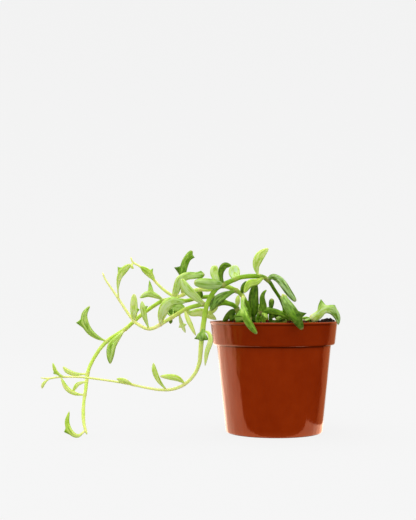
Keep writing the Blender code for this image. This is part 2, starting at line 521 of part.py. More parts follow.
def make_stem(name, route, leaves, collection, material):
    """A leafy stem as one solid. Returns its root's foot and radius, for the hole in the soil."""
    centres = [sight(x, y, z) for x, y, z, _ in route]
    radii = [r * MM for *_, r in route]
    start = centres[0]
    foot = Vector((start.x, start.y, SOIL_EDGE - ROOT_DEPTH))
    collar = Vector((start.x, start.y, start.z - ROOT_COLLAR / 2))
    centres = [foot, collar] + centres
    radii = [radii[0], radii[0]] + radii
    stem = add_tube(name, centres, radii, collection, material)
    grown = new_collection(f"{name}_leaves")
    for i, shape in enumerate(leaves):
        rooted = [nearest_on_line(centres, shape["line"][0])] + shape["line"][1:]
        add_leaf(f"{name}_leaf_{i}", shape, rooted, grown)
    join = stem.modifiers.new("join", "BOOLEAN")
    join.operation = "UNION"
    join.solver = "MANIFOLD"
    join.operand_type = "COLLECTION"
    join.collection = grown
    applied(stem)
    for piece in list(grown.objects):
        bpy.data.objects.remove(piece, do_unlink=True)
    bpy.data.collections.remove(grown)
    return foot, radii[0]


def leaves_by_rule(route, span, spacing, draw):
    """Leaves at even places along a shoot, in turn to the left, to the right and outward."""
    centres = [sight(x, y, z) for x, y, z, _ in route]
    made = []
    place = RULE_FIRST
    while place < 0.97:
        start = smooth_point(centres, place)
        along = (smooth_point(centres, min(1.0, place + 0.03)) - start).normalized()
        outward = Vector((start.x * 0.4, start.y, 0.0)).normalized()
        sideways = outward.cross(Vector(UP))
        lean = (sideways * -1, sideways, outward)[len(made) % 3]
        heading = (lean + outward * 0.5 + along * draw.uniform(0.3, 0.7)).normalized()
        length = draw.uniform(*span) * MM
        rise = Vector(UP) * draw.uniform(0.12, 0.30) * length
        tip = start + heading * length - rise
        middle = start + heading * length * 0.5 + rise * 0.7
        width = draw.uniform(*RULE_WIDTH)
        fin = width * RULE_FIN
        shape = leaf(None, width, width * 0.72, [(0.62, 1, fin), (0.62, -1, fin)], UP)
        shape["line"] = [start, middle, tip]
        made.append(shape)
        place += spacing
    return made


def build():
    clear_scene()
    collection = new_collection("potted_string_of_dolphins")
    cutters = new_collection("cutters")
    plastic = plain_material("terracotta_plastic", POT_COLOUR, 0.3)
    earth = plain_material("potting_soil", SOIL_COLOUR, 0.95)
    green = plain_material("stem_and_leaves", STEM_COLOUR, 0.45)
    make_pot(collection, cutters, plastic)
    roots = {}
    for name, plant in STEMS.items():
        for shape in plant["leaves"]:
            shape["line"] = [sight(*point) for point in shape["points"]]
        roots[name] = make_stem(name, plant["route"], plant["leaves"], collection, green)
    draw = random.Random(RULE_SEED)
    for name, route in RULE_SHOOTS.items():
        span, spacing = RULE_LENGTH, RULE_SPACING
        if name in SHORT_SHOOTS:
            span, spacing = SHORT_LENGTH, SHORT_SPACING
        roots[name] = make_stem(name, route, leaves_by_rule(route, span, spacing, draw), collection, green)
    make_soil(collection, cutters, earth, roots)


build()
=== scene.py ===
import math
import random

import bmesh
import bpy
from mathutils import Euler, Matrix, Vector, kdtree, noise


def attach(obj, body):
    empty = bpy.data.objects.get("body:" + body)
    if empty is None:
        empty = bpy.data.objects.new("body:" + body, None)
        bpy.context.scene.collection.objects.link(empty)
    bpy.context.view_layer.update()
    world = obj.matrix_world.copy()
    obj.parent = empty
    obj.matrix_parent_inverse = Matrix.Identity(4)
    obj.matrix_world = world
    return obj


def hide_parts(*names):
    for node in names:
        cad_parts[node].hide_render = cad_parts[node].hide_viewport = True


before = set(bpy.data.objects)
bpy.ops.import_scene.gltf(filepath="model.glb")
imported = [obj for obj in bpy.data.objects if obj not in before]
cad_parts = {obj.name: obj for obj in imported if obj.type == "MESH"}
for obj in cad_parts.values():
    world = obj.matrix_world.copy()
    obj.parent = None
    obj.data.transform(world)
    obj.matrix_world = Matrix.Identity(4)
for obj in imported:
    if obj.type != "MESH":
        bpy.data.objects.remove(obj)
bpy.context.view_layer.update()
print("frame loaded:", ", ".join(sorted(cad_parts)))

mm = 0.001

# Where the photo was taken from, in mm: a bit above the rim, looking along +Y.
view = {"x": -46.6, "height": 94.4, "distance": 716.0, "tiltUp": 2.17, "lens": 87.2, "sensor": 36.0,
        "farthest": 20000.0}


def seen(x, y, z):
    # x and z are read on the upright plane through the pot's axis, y is the depth
    reach = (view["distance"] + y) / view["distance"]
    return Vector((view["x"] + (x - view["x"]) * reach, y,
                   view["height"] + (z - view["height"]) * reach)) * mm


def placeCamera():
    data = bpy.data.cameras.new("photoView")
    data.sensor_fit = "HORIZONTAL"
    data.sensor_width = view["sensor"]
    data.lens = view["lens"]
    data.clip_end = view["farthest"] * mm
    camera = bpy.data.objects.new("photoView", data)
    bpy.context.scene.collection.objects.link(camera)
    camera.location = (view["x"] * mm, -view["distance"] * mm, view["height"] * mm)
    camera.rotation_euler = Euler((math.radians(90 + view["tiltUp"]), 0, 0))
    bpy.context.scene.camera = camera


placeCamera()
print("camera placed")


# Small helpers for meshes

def selectOnly(obj):
    if bpy.context.object and bpy.context.object.mode != "OBJECT":
        bpy.ops.object.mode_set(mode="OBJECT")
    bpy.ops.object.select_all(action="DESELECT")
    obj.select_set(True)
    bpy.context.view_layer.objects.active = obj


def applyModifier(obj, modifier):
    selectOnly(obj)
    bpy.ops.object.modifier_apply(modifier=modifier.name)


def smoothShade(obj, angle=None):
    selectOnly(obj)
    if angle is None:
        bpy.ops.object.shade_smooth()
    else:
        bpy.ops.object.shade_smooth_by_angle(angle=math.radians(angle))


def wear(obj, material):
    obj.data.materials.clear()
    obj.data.materials.append(material)


def roundCorner(centreR, centreZ, radius, start, end, count):
    # points on an arc from the start angle to the end angle, in degrees
    turns = [math.radians(start + (end - start) * i / (count - 1)) for i in range(count)]
    return [(centreR + radius * math.cos(a), centreZ + radius * math.sin(a)) for a in turns]


def pulledRings(name, rings, sides):
    # a disc at the first ring, extruded and resized to each ring after it
    radius, height = rings[0]
    bpy.ops.object.select_all(action="DESELECT")
    bpy.ops.mesh.primitive_circle_add(vertices=sides, radius=radius * mm, fill_type="NGON",
                                      location=(0, 0, height * mm))
    made = bpy.context.active_object
    made.name = made.data.name = name
    bpy.ops.object.transform_apply(location=True, rotation=False, scale=False)
    bpy.ops.object.mode_set(mode="EDIT")
    bpy.ops.mesh.select_all(action="DESELECT")
    bpy.ops.mesh.select_mode(type="FACE")
    bpy.ops.mesh.select_all(action="SELECT")
    for nextRadius, nextHeight in rings[1:]:
        lift = (0, 0, (nextHeight - height) * mm)
        bpy.ops.mesh.extrude_region_move(TRANSFORM_OT_translate={"value": lift})
        widen = nextRadius / radius
        bpy.ops.transform.resize(value=(widen, widen, 1))
        radius, height = nextRadius, nextHeight
    bpy.ops.mesh.select_all(action="SELECT")
    bpy.ops.mesh.normals_make_consistent(inside=False)
    bpy.ops.object.mode_set(mode="OBJECT")
    return made


# Small helpers for materials

def linked(tree, fromSocket, toSocket):
    tree.links.new(fromSocket, toSocket)


def newMaterial(name, roughness, **sockets):
    # the roughness is the mean one where a pattern varies it
    made = bpy.data.materials.new(name)
    made.use_nodes = True
    shader = made.node_tree.nodes["Principled BSDF"]
    shader.inputs["Roughness"].default_value = roughness
    for label, value in sockets.items():
        shader.inputs[label.replace("_", " ")].default_value = value
    return made, made.node_tree, shader


def calc(tree, operation, a, b=None, c=None, clamp=False):
    node = tree.nodes.new("ShaderNodeMath")
    node.operation = operation
    node.use_clamp = clamp
    for i, value in enumerate((a, b, c)):
        if isinstance(value, bpy.types.NodeSocket):
            linked(tree, value, node.inputs[i])
        elif value is not None:
            node.inputs[i].default_value = value
    return node.outputs[0]


def scaledVector(tree, vector, factors, added=None):
    node = tree.nodes.new("ShaderNodeVectorMath")
    node.operation = "MULTIPLY" if added is None else "MULTIPLY_ADD"
    node.inputs[1].default_value = factors
    linked(tree, vector, node.inputs[0])
    if added is not None:
        linked(tree, added, node.inputs[2])
    return node.outputs[0]


def mixColour(tree, factor, a, b):
    node = tree.nodes.new("ShaderNodeMix")
    node.data_type = "RGBA"
    for value, socket in ((factor, node.inputs["Factor"]), (a, node.inputs["A"]), (b, node.inputs["B"])):
        if isinstance(value, bpy.types.NodeSocket):
            linked(tree, value, socket)
        else:
            socket.default_value = value
    return node.outputs["Result"]


def overlay(tree, mask, strength, under, tone):
    # the tone laid over the colour under it, where the mask is
    return mixColour(tree, calc(tree, "MULTIPLY", mask, strength), under, tone)


def layerNode(tree, name):
    node = tree.nodes.new("ShaderNodeAttribute")
    node.attribute_name = name
    return node


def splitColour(tree, colour):
    node = tree.nodes.new("ShaderNodeSeparateColor")
    linked(tree, colour, node.inputs[0])
    return node.outputs


def ramp(tree, factor, stops):
    node = tree.nodes.new("ShaderNodeValToRGB")
    points = node.color_ramp.elements
    while len(points) < len(stops):
        points.new(0.5)      # each gets its own place below
    for point, (place, colour) in zip(points, stops):
        point.position = place
        point.color = colour
    linked(tree, factor, node.inputs["Fac"])
    return node.outputs["Color"]


def addBump(tree, height, strength, distance, under=None):
    node = tree.nodes.new("ShaderNodeBump")
    node.inputs["Strength"].default_value = strength
    node.inputs["Distance"].default_value = distance * mm
    linked(tree, height, node.inputs["Height"])
    if under is not None:
        linked(tree, under, node.inputs["Normal"])
    return node.outputs["Normal"]


# Soft blotches with finer specks in them, which the pot, the plant and the soil share

blotch = {"scale": 300.0, "fineScale": 2200.0, "contrast": 0.5, "detail": 3.0, "fineDetail": 2.0,
          "fineShare": 0.4, "gain": 10.0, "middle": 0.5}


def speckleGroup():
    # it gives a mask from 0 to 1 and a height
    group = bpy.data.node_groups.new("speckle", "ShaderNodeTree")
    sockets = (("Vector", "INPUT", "NodeSocketVector", None),
               ("Scale", "INPUT", "NodeSocketFloat", blotch["scale"]),
               ("Fine Scale", "INPUT", "NodeSocketFloat", blotch["fineScale"]),
               ("Contrast", "INPUT", "NodeSocketFloat", blotch["contrast"]),
               ("Mask", "OUTPUT", "NodeSocketFloat", None),
               ("Height", "OUTPUT", "NodeSocketFloat", None))
    for label, way, kind, value in sockets:
        socket = group.interface.new_socket(name=label, in_out=way, socket_type=kind)
        if value is not None:
            socket.default_value = value
    inside = group.nodes.new("NodeGroupInput")
    outside = group.nodes.new("NodeGroupOutput")
    textures = []
    for label, detail in (("Scale", blotch["detail"]), ("Fine Scale", blotch["fineDetail"])):
        texture = group.nodes.new("ShaderNodeTexNoise")
        texture.inputs["Detail"].default_value = detail
        linked(group, inside.outputs["Vector"], texture.inputs["Vector"])
        linked(group, inside.outputs[label], texture.inputs["Scale"])
        textures.append(texture.outputs["Fac"])
    broad, fine = textures
    blend = group.nodes.new("ShaderNodeMix")
    blend.inputs["Factor"].default_value = blotch["fineShare"]
    linked(group, broad, blend.inputs["A"])
    linked(group, fine, blend.inputs["B"])
    lift = calc(group, "SUBTRACT", blend.outputs["Result"], blotch["middle"])
    gain = calc(group, "MULTIPLY", inside.outputs["Contrast"], blotch["gain"])
    mask = calc(group, "MULTIPLY_ADD", lift, gain, blotch["middle"], clamp=True)
    linked(group, mask, outside.inputs["Mask"])
    linked(group, fine, outside.inputs["Height"])
    return group


speckle = speckleGroup()


def addSpeckle(tree, vector, scale, fineScale, contrast):
    node = tree.nodes.new("ShaderNodeGroup")
    node.node_tree = speckle
    node.inputs["Scale"].default_value = scale
    node.inputs["Fine Scale"].default_value = fineScale
    node.inputs["Contrast"].default_value = contrast
    linked(tree, vector, node.inputs["Vector"])
    return node


# Pot: one moulded shell, pulled up ring by ring from its base. Sizes are in mm.

pot = {
    "sides": 128, "rim": 45.3, "height": 78.1, "lip": 1.3, "lipRound": 0.45, "fillet": 0.35,
    "filletDrop": 0.55, "collarTop": 44.7, "collarLow": 43.2, "collarHeight": 16.2, "collarRound": 1.6,
    "collarDrop": 0.2, "collarStop": (0.1, 1.4),     # in from the collar's top, and below the lip
    "bodyTop": 40.3, "flare": 0.25, "flareLow": 2.4, "flareHigh": 0.5, "base": 34.0, "footRound": 1.7,
    "baseStart": 4.0, "wall": 1.1, "rimWall": 1.6, "step": 0.3, "floor": 1.5, "floorRound": (0.6, 1.2),
    "fill": 75.4,                          # how high the soil stands by the wall
    "drains": 5, "drainSides": 32, "drainRadius": 3.0, "drainCircle": 21.0, "drainTurn": 0.3,
    "drillLength": 13.5, "smoothAngle": 35,
}
pot["collarFoot"] = pot["height"] - pot["collarHeight"]
pot["lipFoot"] = pot["height"] - pot["lip"]
pot["innerRim"] = pot["rim"] - pot["rimWall"]
pot["innerBase"] = pot["base"] - pot["footRound"] - pot["wall"]

# Painted light and shade on the plastic: where it takes another tone, with how strong it is there; places
# are in mm.
potMarks = {
    "foot": {"tone": (0.40, 0.060, 0.012, 1), "strength": 0.5, "reach": 4.5},     # painted reflection of the pale floor: lighter near the floor
    # painted shade in the step under the collar
    "step": {"tone": (0.045, 0.004, 0.0006, 1), "strength": 0.75, "below": 0.6, "reach": 0.9},
    "collarShade": {"tone": (0.07, 0.004, 0.0004, 1), "strength": 0.16, "below": 0.2},     # painted shade: the collar mirrors less light, so it is a touch darker
    "lip": {"tone": (0.44, 0.075, 0.014, 1), "strength": 0.45, "steepness": 1800.0},     # painted highlight: lighter at its top
    # painted shade on the inner wall above the collar; the wall's middle is as far out as middle, plus the
    # slope times the height
    "inside": {"tone": (0.060, 0.006, 0.0010, 1), "strength": 0.75, "above": 0.3, "middle": 36.9,
               "slope": 0.0926},
    "lipShade": {"tone": (0.050, 0.005, 0.0006, 1), "strength": 0.7, "below": 0.5, "reach": 0.7},
}

# Here and below, a speckle is its scale, fine scale and contrast, and a bump its strength and depth in mm.
potSkin = {
    "dull": (0.262, 0.0212, 0.0006, 1), "bright": (0.300, 0.0272, 0.0012, 1), "drift": (38.0, 160.0, 0.35),
    "grain": (900.0, 5200.0, 0.4), "grainBump": (0.12, 0.06), "roughness": 0.10, "grainRoughness": 0.07,
    "waves": (60.0, 150.0, 0.1), "waveBump": (1.0, 0.8), "waveStretch": (1.0, 1.0, 0.3),
}


def bandMask(tree, z, height, reach):
    # 1 at the height, and down to 0 at the reach below and above it
    away = calc(tree, "ABSOLUTE", calc(tree, "SUBTRACT", z, height * mm))
    return calc(tree, "SUBTRACT", 1.0, calc(tree, "DIVIDE", away, reach * mm), clamp=True)


def potMaterial():
    made, tree, shader = newMaterial("terracottaPlastic", roughness=0.14, IOR=1.52,
                                     Specular_Tint=(1.0, 0.62, 0.42, 1))
    place = tree.nodes.new("ShaderNodeTexCoord").outputs["Object"]
    parts = tree.nodes.new("ShaderNodeSeparateXYZ")
    linked(tree, place, parts.inputs[0])
    z = parts.outputs["Z"]
    radius = tree.nodes.new("ShaderNodeVectorMath")
    radius.operation = "LENGTH"
    linked(tree, scaledVector(tree, place, (1, 1, 0)), radius.inputs[0])

    step, collarShade, inside, lipShade = (potMarks[name] for name in ("step", "collarShade", "inside", "lipShade"))
    nearFoot = calc(tree, "DIVIDE", z, potMarks["foot"]["reach"] * mm)
    aboveLip = calc(tree, "SUBTRACT", z, pot["lipFoot"] * mm)
    depth = calc(tree, "MULTIPLY_ADD", z, -inside["slope"], radius.outputs["Value"])
    inWall = calc(tree, "LESS_THAN", depth, inside["middle"] * mm)
    inCollar = calc(tree, "GREATER_THAN", z, (pot["collarFoot"] + inside["above"]) * mm)
    masks = {
        # painted reflection of the pale floor on the base
        "foot": calc(tree, "SUBTRACT", 1.0, nearFoot, clamp=True),
        # painted shade in the step under the collar
        "step": bandMask(tree, z, pot["collarFoot"] - step["below"], step["reach"]),
        # painted shade over the collar
        "collarShade": calc(tree, "GREATER_THAN", z, (pot["collarFoot"] - collarShade["below"]) * mm),
        # painted highlight along the top of the lip
        "lip": calc(tree, "MULTIPLY", aboveLip, potMarks["lip"]["steepness"], clamp=True),
        # painted shade on the inner wall
        "inside": calc(tree, "MULTIPLY", inWall, inCollar),
        "lipShade": bandMask(tree, z, pot["lipFoot"] - lipShade["below"], lipShade["reach"]),
    }
    drift = addSpeckle(tree, place, *potSkin["drift"])
    colour = mixColour(tree, drift.outputs["Mask"], potSkin["dull"], potSkin["bright"])
    for name, mask in masks.items():
        colour = overlay(tree, mask, potMarks[name]["strength"], colour, potMarks[name]["tone"])
    linked(tree, colour, shader.inputs["Base Color"])

    grain = addSpeckle(tree, place, *potSkin["grain"])
    dullness = calc(tree, "MULTIPLY_ADD", grain.outputs["Mask"], potSkin["grainRoughness"],
                    potSkin["roughness"])
    linked(tree, dullness, shader.inputs["Roughness"])
    waves = addSpeckle(tree, scaledVector(tree, place, potSkin["waveStretch"]), *potSkin["waves"])
    wavy = addBump(tree, waves.outputs["Mask"], *potSkin["waveBump"])
    grainy = addBump(tree, grain.outputs["Height"], *potSkin["grainBump"], wavy)
    linked(tree, grainy, shader.inputs["Normal"])
    return made


def potRings():
    # radius and height of each ring, from the base up the outside, over the lip and down the inside
    foot, lipFoot, fillet, lipRound = pot["collarFoot"], pot["lipFoot"], pot["fillet"], pot["lipRound"]
    collarRound, footRound, wall = pot["collarRound"], pot["footRound"], pot["wall"]
    narrower, lower = pot["collarStop"]
    wider, higher = pot["floorRound"]
    rings = [(pot["base"] - footRound - pot["baseStart"], 0.0)]
    rings += roundCorner(pot["base"] - footRound, footRound, footRound, -90, -8, 9)
    rings += [(pot["bodyTop"] - pot["flare"], foot - pot["flareLow"]),
              (pot["bodyTop"], foot - pot["flareHigh"])]
    rings += roundCorner(pot["collarLow"] - collarRound, foot + collarRound - pot["collarDrop"], collarRound,
                         -86, 0, 8)
    rings += [(pot["collarTop"] - narrower, lipFoot - lower)]
    rings += roundCorner(pot["collarTop"] + fillet, lipFoot - pot["filletDrop"], fillet, 180, 100, 4)
    rings += roundCorner(pot["rim"] - lipRound, lipFoot + lipRound, lipRound, -70, 0, 5)
    rings += roundCorner(pot["rim"] - lipRound, pot["height"] - lipRound, lipRound, 15, 90, 5)
    rings += roundCorner(pot["innerRim"] + fillet, pot["height"] - fillet, fillet, 90, 165, 4)
    rings += [(pot["collarLow"] - wall, foot + wall), (pot["bodyTop"] - wall, foot - pot["step"]),
              (pot["innerBase"] + wider, pot["floor"] + higher), (pot["innerBase"] - wider, pot["floor"])]
    return rings


def makePot():
    shell = pulledRings("potShell", potRings(), pot["sides"])
    for i in range(pot["drains"]):
        turn = math.tau * i / pot["drains"] + pot["drainTurn"]
        middle = (pot["drainCircle"] * mm * math.cos(turn), pot["drainCircle"] * mm * math.sin(turn), 0)
        bpy.ops.object.select_all(action="DESELECT")
        bpy.ops.mesh.primitive_cylinder_add(vertices=pot["drainSides"], radius=pot["drainRadius"] * mm,
                                            depth=pot["drillLength"] * mm, location=middle)
        drill = bpy.context.active_object
        cut = shell.modifiers.new("drain", "BOOLEAN")
        cut.operation = "DIFFERENCE"
        cut.object = drill
        applyModifier(shell, cut)
        bpy.data.objects.remove(drill, do_unlink=True)
    wear(shell, terracottaPlastic)
    smoothShade(shell, pot["smoothAngle"])
    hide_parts("pot")
    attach(shell, "root")


terracottaPlastic = potMaterial()
makePot()
print("pot made")


# Stems and leaves

plantTones = {
    "palest": (0.90, 0.94, 0.34, 1),
    "fresh": (0.54, 0.745, 0.088, 1),
    "grown": (0.185, 0.380, 0.014, 1),
    "old": (0.050, 0.135, 0.003, 1),
    "deep": (0.020, 0.070, 0.0012, 1),
    "bloom": (0.62, 0.80, 0.48, 1),      # the whitish wax on fat leaves, which also paints their whitish sheen
    "window": (0.050, 0.170, 0.006, 1),  # the darker see-through line along a leaf
    "tan": (0.74, 0.52, 0.25, 1),        # pink brown where a leaf starts and at its tip
    "speck": (0.52, 0.70, 0.10, 1),
}

plantSkin = {
    "oldest": 1.25,                      # ages run on to this one, which has the deepest tone
    "stops": (("palest", 0.0), ("fresh", 0.27), ("grown", 0.54), ("old", 0.80), ("deep", 1.0)),
    "driftAge": 0.12, "drift": (120.0, 500.0, 0.3),
    "streaks": (2.8, 6.5, 0.55), "streakStretch": (0.8, 1.0, 1.0), "streakShift": (25.0, 25.0, 25.0),
    "stemStreaks": 0.10, "leafStreaks": 0.28,     # a stem is more even than a leaf
    "edgeShade": 0.18, "edgeFall": 4.0,    # painted shade: a leaf is a deeper green along its edges
    "wax": 0.80, "edgeBare": 0.7, "window": 0.42, "windowFall": 3.0, "tan": 0.95,
    "stemFreckles": 0.05, "leafFreckles": 0.14, "spots": (420.0, 2600.0, 0.42),
    "roughness": 0.34, "spotRoughness": 0.16, "spotBump": (0.25, 0.12),
    "depthTint": (0.75, 1.0, 0.25),
}

# Each vertex carries its age, place along and nearness to the edge, then its wax, tan and whether it is
# a leaf, then its place along and round the skin, in three layers.
layerNames = ("growth", "tint", "skin")


def plantMaterial():
    made, tree, shader = newMaterial("waxyGreen", roughness=0.42, Subsurface_Weight=0.28,
                                     Subsurface_Scale=0.0022, Subsurface_Radius=plantSkin["depthTint"],
                                     Coat_Weight=0.16, Coat_Roughness=0.17, IOR=1.42,
                                     Specular_IOR_Level=0.08)
    place = tree.nodes.new("ShaderNodeTexCoord").outputs["Object"]
    growth, tint, skin = (layerNode(tree, name) for name in layerNames)
    age, _, edge = splitColour(tree, growth.outputs["Color"])
    bloom, tan, leafMask = splitColour(tree, tint.outputs["Color"])
    stretched = scaledVector(tree, skin.outputs["Vector"], plantSkin["streakStretch"])
    streakPlace = scaledVector(tree, place, plantSkin["streakShift"], stretched)
    streaks = addSpeckle(tree, streakPlace, *plantSkin["streaks"]).outputs["Mask"]
    drift = addSpeckle(tree, place, *plantSkin["drift"]).outputs["Mask"]
    spots = addSpeckle(tree, place, *plantSkin["spots"])

    younger = calc(tree, "SUBTRACT", age, plantSkin["driftAge"] / 2)
    mixedAge = calc(tree, "MULTIPLY_ADD", drift, plantSkin["driftAge"], younger)
    streakDepth = calc(tree, "MULTIPLY_ADD", leafMask, plantSkin["leafStreaks"], plantSkin["stemStreaks"])
    streakAge = calc(tree, "MULTIPLY", calc(tree, "SUBTRACT", streaks, blotch["middle"]), streakDepth)
    mixedAge = calc(tree, "ADD", mixedAge, streakAge)
    # painted shade along a leaf's edges: darker green there, with less wax
    rim = calc(tree, "MULTIPLY", calc(tree, "POWER", edge, plantSkin["edgeFall"]), leafMask)
    mixedAge = calc(tree, "MULTIPLY_ADD", rim, plantSkin["edgeShade"], mixedAge)
    mixedAge = calc(tree, "DIVIDE", mixedAge, plantSkin["oldest"], clamp=True)
    colour = ramp(tree, mixedAge, [(stop, plantTones[tone]) for tone, stop in plantSkin["stops"]])

    # the wax, in streaks and thinner at the edges; it is real wax and also a painted whitish sheen
    wax = calc(tree, "MULTIPLY_ADD", streaks, -plantSkin["wax"], plantSkin["wax"])
    wax = calc(tree, "MULTIPLY", bloom, wax)
    wax = calc(tree, "MULTIPLY", wax, calc(tree, "MULTIPLY_ADD", rim, -plantSkin["edgeBare"], 1.0))
    colour = mixColour(tree, wax, colour, plantTones["bloom"])
    inner = calc(tree, "SUBTRACT", 1.0, edge, clamp=True)
    inner = calc(tree, "MULTIPLY", calc(tree, "POWER", inner, plantSkin["windowFall"]), leafMask)
    windowMask = calc(tree, "MULTIPLY", inner, calc(tree, "MULTIPLY", age, plantSkin["window"]))
    colour = mixColour(tree, windowMask, colour, plantTones["window"])
    freckles = calc(tree, "MULTIPLY_ADD", leafMask, plantSkin["leafFreckles"], plantSkin["stemFreckles"])
    freckles = calc(tree, "MULTIPLY", spots.outputs["Mask"], freckles)
    colour = mixColour(tree, freckles, colour, plantTones["speck"])
    colour = overlay(tree, tan, plantSkin["tan"], colour, plantTones["tan"])
    linked(tree, colour, shader.inputs["Base Color"])

    dullness = calc(tree, "MULTIPLY_ADD", spots.outputs["Mask"], plantSkin["spotRoughness"],
                    plantSkin["roughness"])
    linked(tree, dullness, shader.inputs["Roughness"])
    linked(tree, addBump(tree, spots.outputs["Height"], *plantSkin["spotBump"]), shader.inputs["Normal"])
    return made


waxyGreen = plantMaterial()


# A route point is x, y, z and radius in mm, a leaf point x, y and z. age runs from 0, a pale young leaf,
# past 1, an old dark one. bloom is a leaf's whitish wax, which also paints a whitish sheen, and stalk the
# radius of its stalk in mm. A higher fullest moves the leaf's widest place to its tip, and a lower blunt
# makes its ends fuller.

def leaf(points, width, thick, fins=(), face=(0, -1, 0), stalk=0.75, fullest=1.25, blunt=0.62, age=0.6,
         tipAge=None, bloom=0.0, tipBloom=None):
    # a fin is its place along the leaf, its side (1 is left on the way to the tip) and its reach
    return {"points": points, "width": width, "thick": thick, "fins": fins, "face": face, "stalk": stalk,
            "fullest": fullest, "blunt": blunt, "age": age, "tipAge": age if tipAge is None else tipAge,
            "bloom": bloom, "tipBloom": bloom if tipBloom is None else tipBloom}


up = (0, 0, 1)

